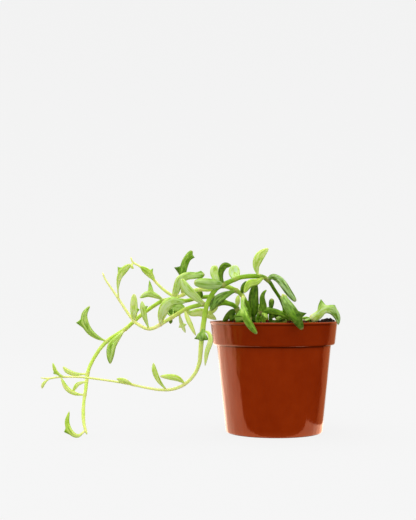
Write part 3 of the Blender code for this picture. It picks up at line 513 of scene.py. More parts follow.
plants = {
    "stem_a": {      # rises by the middle, arches left and runs far out to the left
        "ages": (0.84, 0.84, 0.80, 0.60, 0.72, 0.50, 0.18, 0.10, 0.04, 0.06, 0.08, 0.06, 0.04),
        "route": [
            (8.1, -8, 81, 1.2), (7.2, -9, 88, 1.15), (4.5, -12, 94.5, 1.15), (1.0, -15, 99.8, 1.2),
            (-2.6, -18, 105.6, 1.35), (-6.1, -20, 108.8, 1.5), (-9.7, -22, 109.9, 1.6),
            (-16.8, -25, 110.0, 1.6), (-23.9, -28, 109.1, 1.6), (-31.0, -31, 106.2, 1.65),
            (-34.4, -32, 104.6, 1.8), (-40.2, -34, 101.6, 1.65), (-44.5, -36, 95.9, 1.6),
            (-47.6, -37, 88.8, 1.6), (-49.1, -38, 81.0, 1.7), (-50.3, -38, 72.5, 1.75),
            (-51.2, -38, 64.7, 1.65), (-51.9, -38, 56.2, 1.5), (-52.6, -37, 49.1, 1.35),
            (-55.1, -36, 42.3, 1.2), (-59.4, -35, 36.6, 1.15), (-65.0, -34, 32.4, 1.1),
            (-72.1, -33, 29.9, 1.05), (-80.7, -32, 29.6, 0.95), (-90.6, -31, 31.1, 0.85),
            (-99.8, -30, 33.1, 0.8), (-109.1, -29, 34.9, 0.75), (-123.3, -28, 37.0, 0.72),
            (-137.5, -27, 38.6, 0.7), (-151.7, -26, 38.6, 0.68), (-159.5, -25, 37.5, 0.62),
            (-165.1, -25, 38.1, 0.5),
        ],
        "leaves": [
            leaf([(-3.6, -19, 108.4), (-0.8, -20.5, 109.6), (3.6, -22, 107.8), (7.2, -25, 103.8),
                  (11.0, -26, 98.2), (15.8, -28, 92.0)], 5.3, 4.2, stalk=1.4, blunt=0.32, age=0.84,
                 tipAge=0.74, bloom=0.8),
            leaf([(-10.7, -23, 110.5), (-12.3, -25, 116.6), (-11.2, -26, 121.6), (-8.2, -26, 126),
                  (-3.6, -26, 129.8)], 6.4, 3.2, age=0.26, tipAge=0.16, bloom=0.35),
            leaf([(-6.4, -22, 107.6), (-11.8, -27, 106.1), (-17.2, -30, 104.4), (-21, -31, 98)], 5.4, 3.2,
                 stalk=1.0, age=0.44, tipAge=0.3, bloom=0.2),
            leaf([(-35.5, -33, 104.4), (-45.2, -37, 104.5), (-56.6, -39, 105.6)], 7.4, 5.2, stalk=1.7,
                 blunt=0.34, age=0.68, tipAge=0.38, bloom=0.95),
            leaf([(-37.4, -33, 104), (-41.6, -30, 111), (-42, -29, 117.8)], 6.0, 2.6, blunt=0.32, age=0.22,
                 bloom=0.8),
            leaf([(-36.4, -33, 104.4), (-37.4, -35, 112.5), (-34.8, -36, 117.4), (-29.9, -36, 117.6)],
                 4.6, 3.2, stalk=1.3, age=0.90),
            leaf([(-27.0, -29, 107.6), (-27.8, -25, 112), (-28, -23, 117.8)], 7.8, 2.8, blunt=0.34, age=0.32,
                 tipAge=0.24, bloom=1.4),
            leaf([(-50.0, -38, 72.0), (-50.3, -41.5, 70.8), (-50.8, -43.5, 68.0), (-51.2, -44.5, 63.8)],
                 7.4, 3.2, [(0.86, 1, 2.0), (0.86, -1, 2.0)], stalk=1.4, fullest=2.4, blunt=0.9, age=0.6,
                 tipAge=0.72, bloom=0.4),
            leaf([(-50.2, -38, 71.5), (-46, -43, 69.4), (-44.9, -45, 64), (-47.4, -45, 56),
                  (-48.7, -44, 46.3)], 3.5, 2.7, age=0.16, bloom=0.5),
            leaf([(-62.6, -34, 34), (-69.3, -37, 38.0), (-80.7, -38, 39.2)], 4.2, 2.9, age=0.17, bloom=0.25),
            leaf([(-76.4, -33, 29.8), (-81.4, -35, 36), (-84.4, -36, 42.7), (-85.3, -36, 48.6)], 3.6, 2.7,
                 age=0.26, bloom=0.2),
            leaf([(-99.5, -30, 33), (-105.5, -32, 36), (-111.4, -33, 37.4)], 3.0, 2.3, [(0.78, 1, 1.6)],
                 age=0.15, bloom=0.2),
            leaf([(-159.2, -25, 37.5), (-163, -26, 33.8), (-164.2, -26, 30.4)], 2.2, 1.7, age=0.12),
            leaf([(-148.8, -26, 38.6), (-154.2, -27, 42.2), (-156.6, -27, 48.6)], 2.6, 2.0, [(0.5, 1, 1.0)],
                 age=0.3),
        ],
    },
    "stem_b": {      # up to the top left
        "ages": (0.80, 0.50, 0.14, 0.05, 0.0),
        "route": [
            (-18.0, -18, 81, 1.5), (-18.6, -19, 86, 1.5), (-20.2, -21, 92, 1.5), (-22.6, -22, 96.8, 1.55),
            (-26.7, -22, 99.8, 1.6), (-33.8, -22, 102.8, 1.6), (-38.8, -20, 102.6, 1.55),
            (-43.0, -18, 100.8, 1.5), (-47.3, -16, 100.5, 1.5), (-52.3, -14, 100.5, 1.45),
            (-59.4, -12, 99.1, 1.35), (-66.5, -11, 95.9, 1.25), (-70.7, -11, 95.7, 1.15),
            (-76.4, -11, 99.1, 1.05), (-82.1, -12, 104.1, 0.95), (-87.8, -11, 110.5, 0.85),
            (-94.9, -12, 116.9, 0.75), (-99.8, -12, 119.7, 0.65), (-101.6, -12, 123.6, 0.5),
        ],
        "leaves": [
            leaf([(-84, -12, 106.4), (-88.6, -16, 112), (-94.7, -18, 117)], 4.8, 2.8, [(0.5, -1, 2.2)],
                 age=0.20, tipAge=0.36),
            leaf([(-99.7, -12, 119.6), (-101.2, -14, 117.2), (-99.4, -14, 115.4)], 2.2, 1.8, age=0.12),
            leaf([(-64.3, -11, 96.9), (-64.6, -7, 106), (-64.3, -5, 113.6), (-62.9, -5, 119.4),
                  (-60.2, -6, 124.6), (-57.9, -6, 128.3)], 5.4, 4.2, [(0.42, 1, 4.2), (0.82, -1, 2.1)],
                 stalk=1.5, blunt=0.42, age=0.84, tipAge=0.56, bloom=0.0, tipBloom=0.15),
            leaf([(-70.5, -11, 95.8), (-69.0, -15, 100.5), (-66.6, -18.5, 107.2), (-61.5, -21, 110.1),
                  (-55.5, -22, 110.5), (-48.9, -22, 111.2)], 5.8, 4.0, [(0.92, 1, 1.3), (0.92, -1, 0.9)],
                 stalk=1.5, fullest=0.8, blunt=0.35, age=0.18, tipAge=0.50, bloom=0.7),
            leaf([(-51.6, -14, 100.2), (-52.6, -12, 97.2), (-53.2, -11, 93.8)], 5.2, 3.0, age=0.8),
            leaf([(-18.2, -18.6, 81.6), (-15.2, -22, 83.4), (-14.3, -23.6, 89), (-14.2, -23.4, 96.4),
                  (-12.9, -22.4, 105.0)], 7.2, 4.2, stalk=2.4, blunt=0.36, age=0.96),
            leaf([(-18.1, -18.4, 81.4), (-17.4, -22, 84), (-17.5, -24, 88.4), (-18.2, -25, 92.8)], 4.2, 3.0,
                 stalk=1.2, age=0.98),
            leaf([(-22.6, -22, 96.8), (-21.6, -24, 101.5), (-19.2, -24, 106.6)], 3.8, 2.6, age=0.88),
            leaf([(-18.0, -18.2, 79.8), (-15.8, -21, 80.6), (-12.4, -23.6, 78.4)], 5.4, 3.6, stalk=1.6,
                 age=1.1),
            leaf([(-18.0, -18.0, 79.2), (-21.2, -20.4, 80.6), (-24.2, -22, 78.0)], 5.0, 3.4, stalk=1.6,
                 age=0.95),
            leaf([(-27, -22, 99.4), (-35.6, -30, 96.2), (-40.8, -35, 92.0), (-44.9, -39, 85.2)], 7.4, 3.4,
                 face=(-0.5, -0.87, 0), stalk=1.3, age=0.74, tipAge=0.92, bloom=0.2),
        ],
    },
    "stem_c": {      # loops out to the left and back up
        "ages": (0.90, 0.80, 0.68, 0.46, 0.18, 0.02, 0.0, 0.0, 0.0),
        "route": [
            (-25.3, -27, 81, 1.6), (-25.4, -28, 84.6, 1.6), (-26.2, -29, 87.2, 1.6), (-28.4, -30, 89.4, 1.6),
            (-34.5, -31, 91.0, 1.6), (-41.6, -31, 90.1, 1.6), (-48.7, -30, 90.0, 1.55),
            (-55.8, -29, 88.8, 1.5), (-62.9, -28, 86.3, 1.45), (-70.0, -27, 82.1, 1.35),
            (-77.1, -26, 77.8, 1.3), (-84.2, -25, 73.6, 1.25), (-87.8, -24, 72.7, 1.2),
            (-91.3, -23, 73.2, 1.15), (-97.7, -21, 76.8, 1.1), (-102.0, -19, 81.7, 1.0),
            (-106.2, -17, 87.8, 0.95), (-110.8, -15, 94.9, 0.85), (-115.4, -13, 101.6, 0.75),
            (-119.7, -12, 108.0, 0.65), (-121.5, -12, 112.6, 0.5),
        ],
        "leaves": [
            leaf([(-49.4, -30, 90.4), (-55.8, -32, 95.6), (-61.6, -33, 101.0), (-65.6, -33, 108.2)],
                 6.4, 4.6, stalk=1.7, blunt=0.46, age=0.20, tipAge=0.33, bloom=1.0),
            leaf([(-63.4, -28, 86), (-60.8, -31, 79.6), (-55.3, -32, 67.8)], 3.3, 2.4, age=0.05, bloom=0.2),
            leaf([(-67.2, -27, 83.8), (-65.4, -23, 76.6), (-62.6, -22, 69.8)], 2.8, 2.0,
                 [(0.62, 1, 1.8), (0.62, -1, 1.6)], age=0.0, bloom=0.8),
            leaf([(-62.6, -28, 86.2), (-58.6, -25.5, 83.8), (-52.3, -24, 84.4), (-46.2, -22, 82.6),
                  (-40.6, -20, 79.2)], 5.8, 3.0, stalk=0.9, age=0.08, bloom=0.3),
            leaf([(-39.5, -31, 90.2), (-42.0, -28.6, 87.2), (-46.6, -27.4, 82.4)], 4.0, 2.4, age=0.12),
            leaf([(-88.6, -24, 72.8), (-91.3, -27, 80.3), (-92.8, -28, 87), (-93.6, -28, 92.4)], 4.0, 2.8,
                 [(0.70, -1, 2.0)], age=0.28, bloom=0.5),
            leaf([(-99, -20.5, 78.2), (-99.2, -23, 86), (-99.1, -24, 97.4)], 5.2, 2.8, [(0.5, -1, 1.6)],
                 blunt=0.42, age=0.14, bloom=0.5),
            leaf([(-109.9, -15, 93.6), (-110.6, -18, 101.6), (-109.6, -20, 109.2), (-106.6, -20, 114),
                  (-101.6, -21, 118.7)], 5.0, 3.4, [(0.7, 1, 2.4)], stalk=0.6, fullest=2.2, age=0.08,
                 tipAge=0.34, bloom=0.3),
            leaf([(-80.4, -26, 75.8), (-79.3, -31, 82.6), (-76.4, -33, 89.0), (-71.0, -33, 92.4),
                  (-62.6, -32, 91.2)], 7.4, 4.4, stalk=1.2, fullest=1.0, age=0.07, tipAge=0.48, bloom=0.5,
                 tipBloom=0.8),
            leaf([(-71.6, -26, 81.6), (-73.0, -23.5, 84.8), (-73.4, -22.5, 87.0)], 3.4, 2.4, age=0.98),
            leaf([(-72.4, -26, 80.2), (-73.0, -25, 78.4), (-73.3, -24.6, 76.2)], 2.6, 2.0, age=0.98),
            leaf([(-71.4, -27, 81.3), (-73.0, -22, 85.2), (-68.6, -20, 87.6), (-62.6, -20, 87.2)], 8.4, 4.2,
                 [(0.66, -1, 3.2)], age=0.44, bloom=0.8),
            leaf([(-25.6, -28, 85.6), (-29.6, -26, 84.2), (-36.2, -22, 77.6)], 4.8, 3.2, age=1.0),
            leaf([(-25.4, -27, 81.6), (-28.6, -26.6, 81.0), (-31.4, -26, 78.8)], 4.6, 3.0, stalk=1.4,
                 age=1.05),
            leaf([(-26.2, -29, 87), (-25.6, -31, 92), (-25.1, -31, 96.6)], 3.4, 2.4, age=0.2),
        ],
    },
    "stem_d": {      # runs left and down to the floor
        "ages": (0.80, 0.70, 0.58, 0.44, 0.32, 0.28, 0.28, 0.22, 0.16),
        "route": [
            (-23.5, 4, 80, 1.5), (-24.4, 4, 84.4, 1.5), (-27.6, 4, 88.6, 1.5), (-33.0, 4, 91.2, 1.5),
            (-38.5, 4, 93.8, 1.5), (-45.0, 4, 95.4, 1.5), (-54.0, 5, 94.6, 1.45), (-61.5, 5, 92.6, 1.45),
            (-66.5, 5, 92.9, 1.45), (-73.6, 5, 93.1, 1.45), (-78.8, 5, 92.6, 1.45), (-85.6, 5, 88.6, 1.4),
            (-93.8, 4, 82.6, 1.4), (-99.8, 4, 77.3, 1.4), (-105.5, 3, 72.3, 1.4), (-112.6, 2, 67.9, 1.4),
            (-118.3, 0, 63.8, 1.45), (-123.3, -3, 58.3, 1.35), (-128.2, -6, 50.5, 1.3),
            (-131.3, -10, 43.4, 1.3), (-132.5, -14, 36.3, 1.25), (-133.2, -19, 29.2, 1.2),
            (-134.3, -23, 22.1, 1.1), (-134.8, -28, 13.6, 1.25), (-134.2, -33, 5.2, 1.1),
            (-132.2, -38, -1.5, 0.7),
        ],
        "leaves": [
            leaf([(-77.8, 4.5, 93), (-83.5, 1, 96), (-89.2, 0, 97.4), (-95.1, 0, 94.6)], 4.6, 3.6,
                 [(0.58, -1, 7.6)], age=0.23, tipAge=0.33, bloom=0.8),
            leaf([(-118.3, -0.5, 64), (-125, -3, 66.6), (-130.6, -5, 71), (-133.9, -6, 77),
                  (-134.2, -6, 83.1), (-130.5, -6, 89)], 5.2, 3.8, [(0.62, 1, 3.6)], age=0.40, tipAge=0.46,
                 bloom=0.4),
            leaf([(-104.8, 3, 72.4), (-110.8, -1, 66.2), (-114.7, -3, 60.6), (-115.8, -4, 54.2),
                  (-115.9, -4, 47.8)], 6.2, 4.2, age=0.22, tipAge=0.54, bloom=0.5),
            leaf([(-131.9, -12, 41), (-140.3, -12, 40.7), (-146, -12, 42.7), (-149.4, -12, 46)], 3.4, 2.6,
                 age=0.14, bloom=0.2),
            leaf([(-133.4, -20.5, 25.6), (-141, -21, 27.1), (-146.8, -20, 31), (-150.8, -18, 38.4)],
                 3.3, 2.6, age=0.2),
            leaf([(-132.6, -14.6, 35.4), (-138.9, -15, 33.4), (-142.6, -15, 27.8)], 2.8, 2.2, age=0.14,
                 bloom=0.3),
            leaf([(-133.6, -36, 0.8), (-138.6, -41, -2.8), (-143.8, -42, 0.2), (-146.2, -41, 6.8),
                  (-144.7, -40, 14.6)], 3.6, 2.7, [(0.56, 1, 2.0)], age=0.12, tipAge=0.46),
        ],
    },
    "shoot_front": {      # the big leaf over the front rim
        "ages": (0.8, 0.75, 0.7, 0.66, 0.6),
        "route": [(8.0, -30, 81, 1.2), (7.4, -32, 87, 1.2), (6.7, -34, 92, 1.15), (6.6, -35.5, 97.4, 0.9)],
        "leaves": [
            leaf([(6.6, -35, 96.4), (9.4, -39, 90.4), (13.2, -44, 84.6), (17.0, -48, 78.6),
                  (20.3, -50, 72.0)], 7.6, 5.2, [(0.67, 1, 4.2)], stalk=2.4, fullest=1.0, blunt=0.44,
                 age=0.60, tipAge=1.25, bloom=0.8, tipBloom=0.0),
            leaf([(8.0, -30.4, 77.8), (2.6, -31, 77.0), (-1.8, -31.4, 78.4), (-2.2, -31.8, 84.0),
                  (-1.8, -32, 88.6), (-1.2, -32, 94.3)], 3.7, 3.5, stalk=1.8, fullest=6.6, blunt=0.5,
                 age=0.95),
            leaf([(6.9, -31.5, 80.2), (9.8, -33.6, 80.4), (12.9, -35, 78.8)], 3.6, 2.0, age=0.3, bloom=0.5),
            leaf([(7.6, -31, 79.4), (4.6, -33.4, 80.4), (1.6, -35.2, 78.8)], 4.6, 3.0, face=up, age=0.5,
                 bloom=0.4),
        ],
    },
    "shoot_dark": {      # the dark leaves beside it
        "ages": (0.9, 0.9, 0.88, 0.85, 0.8),
        "route": [(-11.6, -33, 79.8, 1.4), (-11.0, -33.4, 82.0, 1.4), (-9.2, -34.2, 84.2, 1.4),
                  (-6.8, -35, 85.8, 1.3)],
        "leaves": [
            leaf([(-8.4, -34.6, 84.4), (-7.5, -35.6, 88.8), (-8.1, -36.2, 94.2), (-7.2, -36.4, 97.8),
                  (-5.0, -36.8, 100.4)], 5.8, 4.0, stalk=2.4, fullest=0.24, blunt=0.6, age=0.95,
                 tipAge=0.86),
            leaf([(-8.6, -34.4, 83.6), (-4.4, -36.0, 85.3), (0.9, -37.6, 84.8), (6.0, -38.6, 82.8),
                  (12.2, -38.6, 79.0)], 4.4, 3.6, stalk=2.0, fullest=0.75, blunt=0.35, age=1.0, tipAge=0.74),
            leaf([(-9.0, -34.2, 84.0), (-6.4, -37, 82.6), (-5.0, -39.2, 79.8)], 3.8, 2.8, face=up, age=0.5,
                 bloom=0.3),
        ],
    },
    "shoot_left": {      # the bright leaf over the front left rim
        "ages": (0.95, 0.95, 0.9, 0.86, 0.6),
        "route": [(-17.0, -33.5, 81, 1.25), (-17.8, -34.5, 87, 1.25), (-19.8, -36, 92.6, 1.2),
                  (-22.2, -37.5, 96.8, 1.0)],
        "leaves": [
            leaf([(-22.1, -37.4, 95.2), (-22.0, -42, 90.2), (-21.3, -46, 84.8), (-19.2, -49, 79.4),
                  (-16.0, -51, 74.2), (-11.8, -52, 69)], 5.0, 4.0,
                 [(0.43, -1, 5.8), (0.33, 1, 2.0), (0.47, 1, 1.2)], stalk=1.5, fullest=1.7, blunt=0.5,
                 age=0.44, tipAge=0.88, bloom=0.75, tipBloom=0.05),
            leaf([(-17.0, -33.4, 79.2), (-22.0, -35, 80.4), (-27.6, -36, 79.2)], 4.6, 3.0, age=0.72,
                 bloom=0.2),
        ],
    },
    "shoot_right": {      # the arched leaf over the right rim
        "ages": (0.8, 0.78, 0.75, 0.72, 0.7),
        "route": [(26.4, -26, 79.4, 1.2), (27.0, -26.4, 81.2, 1.1)],
        "leaves": [
            leaf([(28.4, -26.6, 78.8), (31.4, -27.6, 82.2), (35.0, -28.5, 85.6), (39.0, -27.5, 86.5),
                  (42.6, -26, 84.8), (45.2, -25, 80.6), (45.9, -24.5, 75.4)], 5.8, 4.4,
                 [(0.36, 1, 5.2), (0.60, 1, 1.4)], stalk=3.2, age=0.10, tipAge=0.76, bloom=1.3,
                 tipBloom=0.9),
            leaf([(26.6, -26.2, 78.8), (24.6, -29, 79.4), (22.4, -32, 78.4)], 3.4, 1.8, face=up, age=0.6,
                 bloom=0.5),
        ],
    },
}

# The other shoots carry leaves by a rule: in turn left, right and outward.
ruleShoots = {
    "shoot_middle": [
        (-7.0, -7, 80.4, 1.3), (-7.6, -6, 82, 1.3), (-8.4, -4, 83.6, 1.2), (-8.8, -1, 84.8, 1.0),
        (-8.6, 2, 85.4, 0.7)],
    "shoot_back": [
        (5.0, 2, 79.8, 1.2), (5.2, 3, 81.0, 1.2), (5.6, 6, 82.0, 1.1), (5.8, 10, 82.4, 0.9),
        (5.4, 14, 82.2, 0.6)],
    "shoot_rear_middle": [
        (-9.0, 17, 81, 1.4), (-8.6, 20, 86, 1.4), (-8.0, 28, 89, 1.35), (-6.6, 38, 87.6, 1.3),
        (-5.2, 46, 82, 1.3), (-4.4, 51, 73, 1.2), (-4.0, 53, 63, 1.1), (-4.6, 53, 52, 1.0),
        (-6.0, 52, 41, 0.85), (-8.0, 51, 32, 0.6)],
    "shoot_rear_right": [
        (15.0, 17, 79.8, 1.3), (16.6, 31, 81.4, 1.25), (17.8, 39.5, 81.2, 1.2), (18.6, 43.5, 79.4, 1.2),
        (19.0, 46.5, 74, 1.15), (19.4, 48, 68, 1.05), (19.0, 49, 58, 0.9), (17.6, 49, 49, 0.6)],
    "shoot_rear_left": [
        (-20.0, 15, 79.8, 1.3), (-26.6, 39.0, 80.8, 1.2), (-25.6, 42.2, 76, 1.15), (-25.4, 42.8, 71, 1.1),
        (-25.2, 43.0, 66, 1.05), (-25.0, 43.0, 61, 0.9), (-24.4, 43.0, 56, 0.6)],
}

# Places are shares of a route or a leaf, and sizes are in mm. flatness and fin are shares of the width.
rule = {
    "seed": 11, "first": 0.30, "last": 0.97, "spacing": 0.115, "length": (14.0, 20.0),
    "short": ("shoot_middle", "shoot_back"), "shortSpacing": 0.16, "shortLength": (9.0, 13.0),
    "width": (4.2, 5.6), "flatness": 0.72, "fin": 0.42, "finPlace": 0.62,
    # how a leaf leans out from the pot and on along its stem, how far its tip droops and its middle arches
    "outward": 0.5, "outwardX": 0.4, "onward": (0.3, 0.7), "droop": (0.12, 0.30), "arch": 0.7,
    "age": 0.85, "ageFall": 0.4, "ageSpread": 0.1, "bloom": 0.4, "stemAges": (0.8, 0.7, 0.6, 0.5, 0.3),
}

grown = {
    "leafSides": 24, "leafRings": 44, "stemSides": 14, "stemStep": 0.9, "leastRings": 12,
    # how deep a stem is rooted, the upright part below its start, and how far its first bend reaches
    "rootDepth": 12.0, "underSoil": 2.0, "bend": 2.4,
    # how a fin rises and falls along the leaf, how sharp it is, and how far it leans to the tip
    "finRise": 0.12, "finFall": 0.085, "finWave": 1.5, "finSharp": 5.0, "finLean": 0.25,
    # the groove along a leaf's face, and its rounded start and tip
    "furrow": 0.13, "furrowSharp": 6, "buttReach": 0.055, "buttNarrow": 0.8, "tipRing": 0.985,
    # a stem swells at its joints, has faint ribs and rounds off at its end
    "jointSwell": 0.22, "jointReach": 1.6, "ribs": 5, "ribDepth": 0.03, "ribTwist": 900,
    "stemEnd": (0.9, 0.55),
    # how far ahead along a line its heading is taken
    "leafAhead": 0.02, "stemAhead": 0.004, "ruleAhead": 0.03,
}

# How age, wax and tan change along a leaf and a stem.
shading = {
    "pale": 0.24, "paleReach": 0.16, "finAge": 0.5, "finBare": 0.6, "bloomRise": 1.8,
    "startTan": 0.65, "startReach": 0.09, "tipTan": 0.5, "tipReach": 0.05,
    "stemEdge": 0.4, "jointTan": 0.45, "skinLength": 12.0,
}


def pointOn(points, place):
    # a smooth line through the points, with place from 0 to 1
    spans = len(points) - 1
    at = min(place * spans, spans - 1e-6)
    i = int(at)
    t = at - i
    p1, p2 = points[i], points[i + 1]
    p0 = points[i - 1] if i > 0 else p1 * 2 - p2
    p3 = points[i + 2] if i + 2 <= spans else p2 * 2 - p1
    return 0.5 * (2 * p1 + (p2 - p0) * t + (2 * p0 - 5 * p1 + 4 * p2 - p3) * t ** 2
                  + (3 * p1 - p0 - 3 * p2 + p3) * t ** 3)


def headingOn(points, place, ahead):
    return (pointOn(points, min(1.0, place + ahead)) - pointOn(points, max(0.0, place - ahead))).normalized()


def nearestOn(corners, spot):
    # the nearest point of the line, and how far along the line it is
    best, bestAt, run = corners[0], 0.0, 0.0
    for a, b in zip(corners, corners[1:]):
        step = b - a
        share = max(0.0, min(1.0, (spot - a).dot(step) / step.length_squared))
        near = a + step * share
        if (near - spot).length < (best - spot).length:
            best, bestAt = near, run + step.length * share
        run += step.length
    return best, bestAt


def ringedBlank(name, sides, rings):
    # an upright round bar of unit size, cut into rings
    bpy.ops.object.select_all(action="DESELECT")
    bpy.ops.mesh.primitive_cylinder_add(vertices=sides, radius=1.0, depth=1.0, end_fill_type="TRIFAN",
                                        location=(0, 0, 0.5))
    blank = bpy.context.active_object
    blank.name = name
    bpy.ops.object.transform_apply(location=True, rotation=False, scale=False)
    bpy.ops.object.mode_set(mode="EDIT")
    bpy.ops.mesh.select_mode(type="EDGE")
    bpy.ops.mesh.select_all(action="DESELECT")
    bpy.ops.object.mode_set(mode="OBJECT")
    corners = blank.data.vertices
    for edge in blank.data.edges:
        a, b = (corners[i].co.z for i in edge.vertices)
        edge.select = abs(a - b) > 0.5
    bpy.ops.object.mode_set(mode="EDIT")
    bpy.ops.mesh.subdivide(number_cuts=rings - 1)
    bpy.ops.object.mode_set(mode="OBJECT")
    return blank


def setLooks(mesh, looks):
    # each vertex has a row of nine values, three for each layer
    for i, name in enumerate(layerNames):
        layer = mesh.attributes.new(name, "FLOAT_COLOR", "POINT")
        for value, row in zip(layer.data, looks):
            value.color = (*row[i * 3:i * 3 + 3], 1.0)


def gatherLooks(sources):
    # a union may drop the looks, so they are kept here with their places, to be found again
    rows = []
    for source in sources:
        layers = [source.data.attributes[name].data for name in layerNames]
        for corner, *values in zip(source.data.vertices, *layers):
            rows.append((corner.co.copy(), [part for value in values for part in tuple(value.color)[:3]]))
    tree = kdtree.KDTree(len(rows))
    for i, (spot, _) in enumerate(rows):
        tree.insert(spot, i)
    tree.balance()
    return rows, tree


def leafGirth(t, shape):
    # half the width and half the thickness
    swell = math.sin(math.pi * min(t, 1.0) ** shape["fullest"]) ** shape["blunt"]
    stalk = shape["stalk"] * max(0.0, 1 - t) ** 0.5
    missing = 1 - min(1.0, t / grown["buttReach"])
    butt = (1 - grown["buttNarrow"] * missing ** 2) ** 0.5      # rounds the end at the stem
    return max(stalk, shape["width"] / 2 * swell) * butt, max(stalk, shape["thick"] / 2 * swell) * butt


def finShare(t, turn, finPlace, which):
    # how near the spot is to the fin's point, along the leaf and round it, from 0 to 1
    reach = grown["finRise"] if t < finPlace else grown["finFall"]
    near = max(0.0, 1 - abs(t - finPlace) / reach) ** grown["finWave"]
    facing = max(0.0, math.cos(turn) * which) ** grown["finSharp"]
    return near, facing


def leafLooks(t, turn, shape, finned):
    pale = shading["pale"] * max(0.0, 1 - t / shading["paleReach"])      # a leaf starts pale
    age = shape["age"] + (shape["tipAge"] - shape["age"]) * t
    age += shading["finAge"] * finned * (1 - age) - pale
    bloom = shape["bloom"] + (shape["tipBloom"] - shape["bloom"]) * min(1.0, shading["bloomRise"] * t)
    bloom *= (1 - pale) * (1 - shading["finBare"] * finned)
    tipTan = shading["tipTan"] * (t - (1 - shading["tipReach"])) / shading["tipReach"]
    startTan = shading["startTan"] * (1 - t / shading["startReach"])
    return (max(0.0, age), t, abs(math.cos(turn)), bloom, max(tipTan, startTan, 0.0), 1.0,
            t, math.cos(turn), math.sin(turn))


def wrapLeaf(blank, name, shape, line, rings):
    piece = bpy.data.objects.new(name, blank.data.copy())
    bpy.context.scene.collection.objects.link(piece)
    face = Vector(shape["face"])
    places = [i / rings * grown["tipRing"] for i in range(rings + 1)]
    for finPlace, _, _ in shape["fins"]:      # a ring lies on each fin's point
        nearest = min(range(2, rings - 1), key=lambda i: abs(places[i] - finPlace))
        places[nearest] = finPlace
    frames = []
    for t in places:
        along = headingOn(line, t, grown["leafAhead"])
        side = face.cross(along).normalized()
        frames.append((pointOn(line, t), along, side, along.cross(side).normalized()))
    looks = []
    for corner in piece.data.vertices:
        x, y, z = corner.co
        i = round(z * rings)
        t = places[i]
        centre, along, side, out = frames[i]
        if math.hypot(x, y) < 0.5:      # the middle of an end
            atTip = z > 0.5
            corner.co = pointOn(line, 1.0) if atTip else centre
            age, bloom = (shape["tipAge"], shape["tipBloom"]) if atTip else (shape["age"], shape["bloom"])
            looks.append((age, float(atTip), 1.0, bloom, 0.0, 1.0, t, 0.0, 0.0))
            continue
        turn = math.atan2(y, x)
        halfWidth, halfThick = leafGirth(t, shape)
        groove = max(0.0, math.sin(turn)) ** grown["furrowSharp"]
        furrow = 1 - grown["furrow"] * groove * math.sin(math.pi * t)
        spot = centre + (side * math.cos(turn) * halfWidth + out * math.sin(turn) * halfThick * furrow) * mm
        finned = 0.0
        for finPlace, which, reach in shape["fins"]:
            near, facing = finShare(t, turn, finPlace, which)
            spot += (side * which + along * grown["finLean"]) * reach * near * facing * mm
            finned = max(finned, near * facing)
        corner.co = spot
        looks.append(leafLooks(t, turn, shape, finned))
    setLooks(piece.data, looks)
    return piece


def wrapStem(name, centres, radii, ages, joints):
    lengths = [(b - a).length for a, b in zip(centres, centres[1:])]
    total = sum(lengths)
    rings = max(grown["leastRings"], round(total / (grown["stemStep"] * mm)))
    piece = ringedBlank(name, grown["stemSides"], rings)
    reached = [0.0]
    for length in lengths:
        reached.append(reached[-1] + length)

    def at(distance):
        i = max(k for k in range(len(lengths)) if reached[k] <= distance + 1e-9)
        return min(1.0, (i + (distance - reached[i]) / lengths[i]) / len(lengths))

    frames, side = [], None
    for i in range(rings + 1):
        place = at(total * i / rings)
        along = headingOn(centres, place, grown["stemAhead"])
        side = (side or along.orthogonal()).copy()
        side = (side - along * side.dot(along)).normalized()      # carried along, so the stem isn't twisted
        radius = pointOn([Vector((r, 0, 0)) for r in radii], place).x
        frames.append((pointOn(centres, place), side, along.cross(side), radius))
    looks = []
    for corner in piece.data.vertices:
        x, y, z = corner.co
        i = round(z * rings)
        centre, side, out, radius = frames[i]
        turn = math.atan2(y, x)
        distance = total * i / rings
        joint = max([max(0.0, 1 - abs(distance - j) / (grown["jointReach"] * mm)) for j in joints] + [0.0])
        girth = radius * (1 + grown["jointSwell"] * joint * joint)
        girth *= 1 + grown["ribDepth"] * math.cos(turn * grown["ribs"] + distance * grown["ribTwist"])
        if i > rings - 2:      # the last two rings round off the end
            girth *= grown["stemEnd"][i - rings + 1]
        if math.hypot(x, y) < 0.5:      # the middle of an end
            corner.co = centre
        else:
            corner.co = centre + (side * math.cos(turn) + out * math.sin(turn)) * girth * mm
        share = distance / total * (len(ages) - 1)
        k = min(int(share), len(ages) - 2)
        age = ages[k] + (ages[k + 1] - ages[k]) * (share - k)
        looks.append((age, distance / total, shading["stemEdge"], 0.0, joint * shading["jointTan"], 0.0,
                      distance / (shading["skinLength"] * mm), math.cos(turn), math.sin(turn)))
    setLooks(piece.data, looks)
    return piece


def fuseLeaves(stem, pieces):
    # one closed skin, in which each vertex keeps the looks of the stem or leaf that it came from
    rows, tree = gatherLooks([stem] + pieces)
    bunch = bpy.data.collections.new(f"{stem.name}_bunch")
    bpy.context.scene.collection.children.link(bunch)
    for piece in pieces:
        bunch.objects.link(piece)
    union = stem.modifiers.new("union", "BOOLEAN")
    union.operation = "UNION"
    union.solver = "MANIFOLD"
    union.operand_type = "COLLECTION"
    union.collection = bunch
    applyModifier(stem, union)
    for piece in pieces:
        bpy.data.objects.remove(piece, do_unlink=True)
    bpy.data.collections.remove(bunch)
    for label in layerNames:
        if label in stem.data.attributes:
            stem.data.attributes.remove(stem.data.attributes[label])
    setLooks(stem.data, [rows[tree.find(corner.co)[1]][1] for corner in stem.data.vertices])


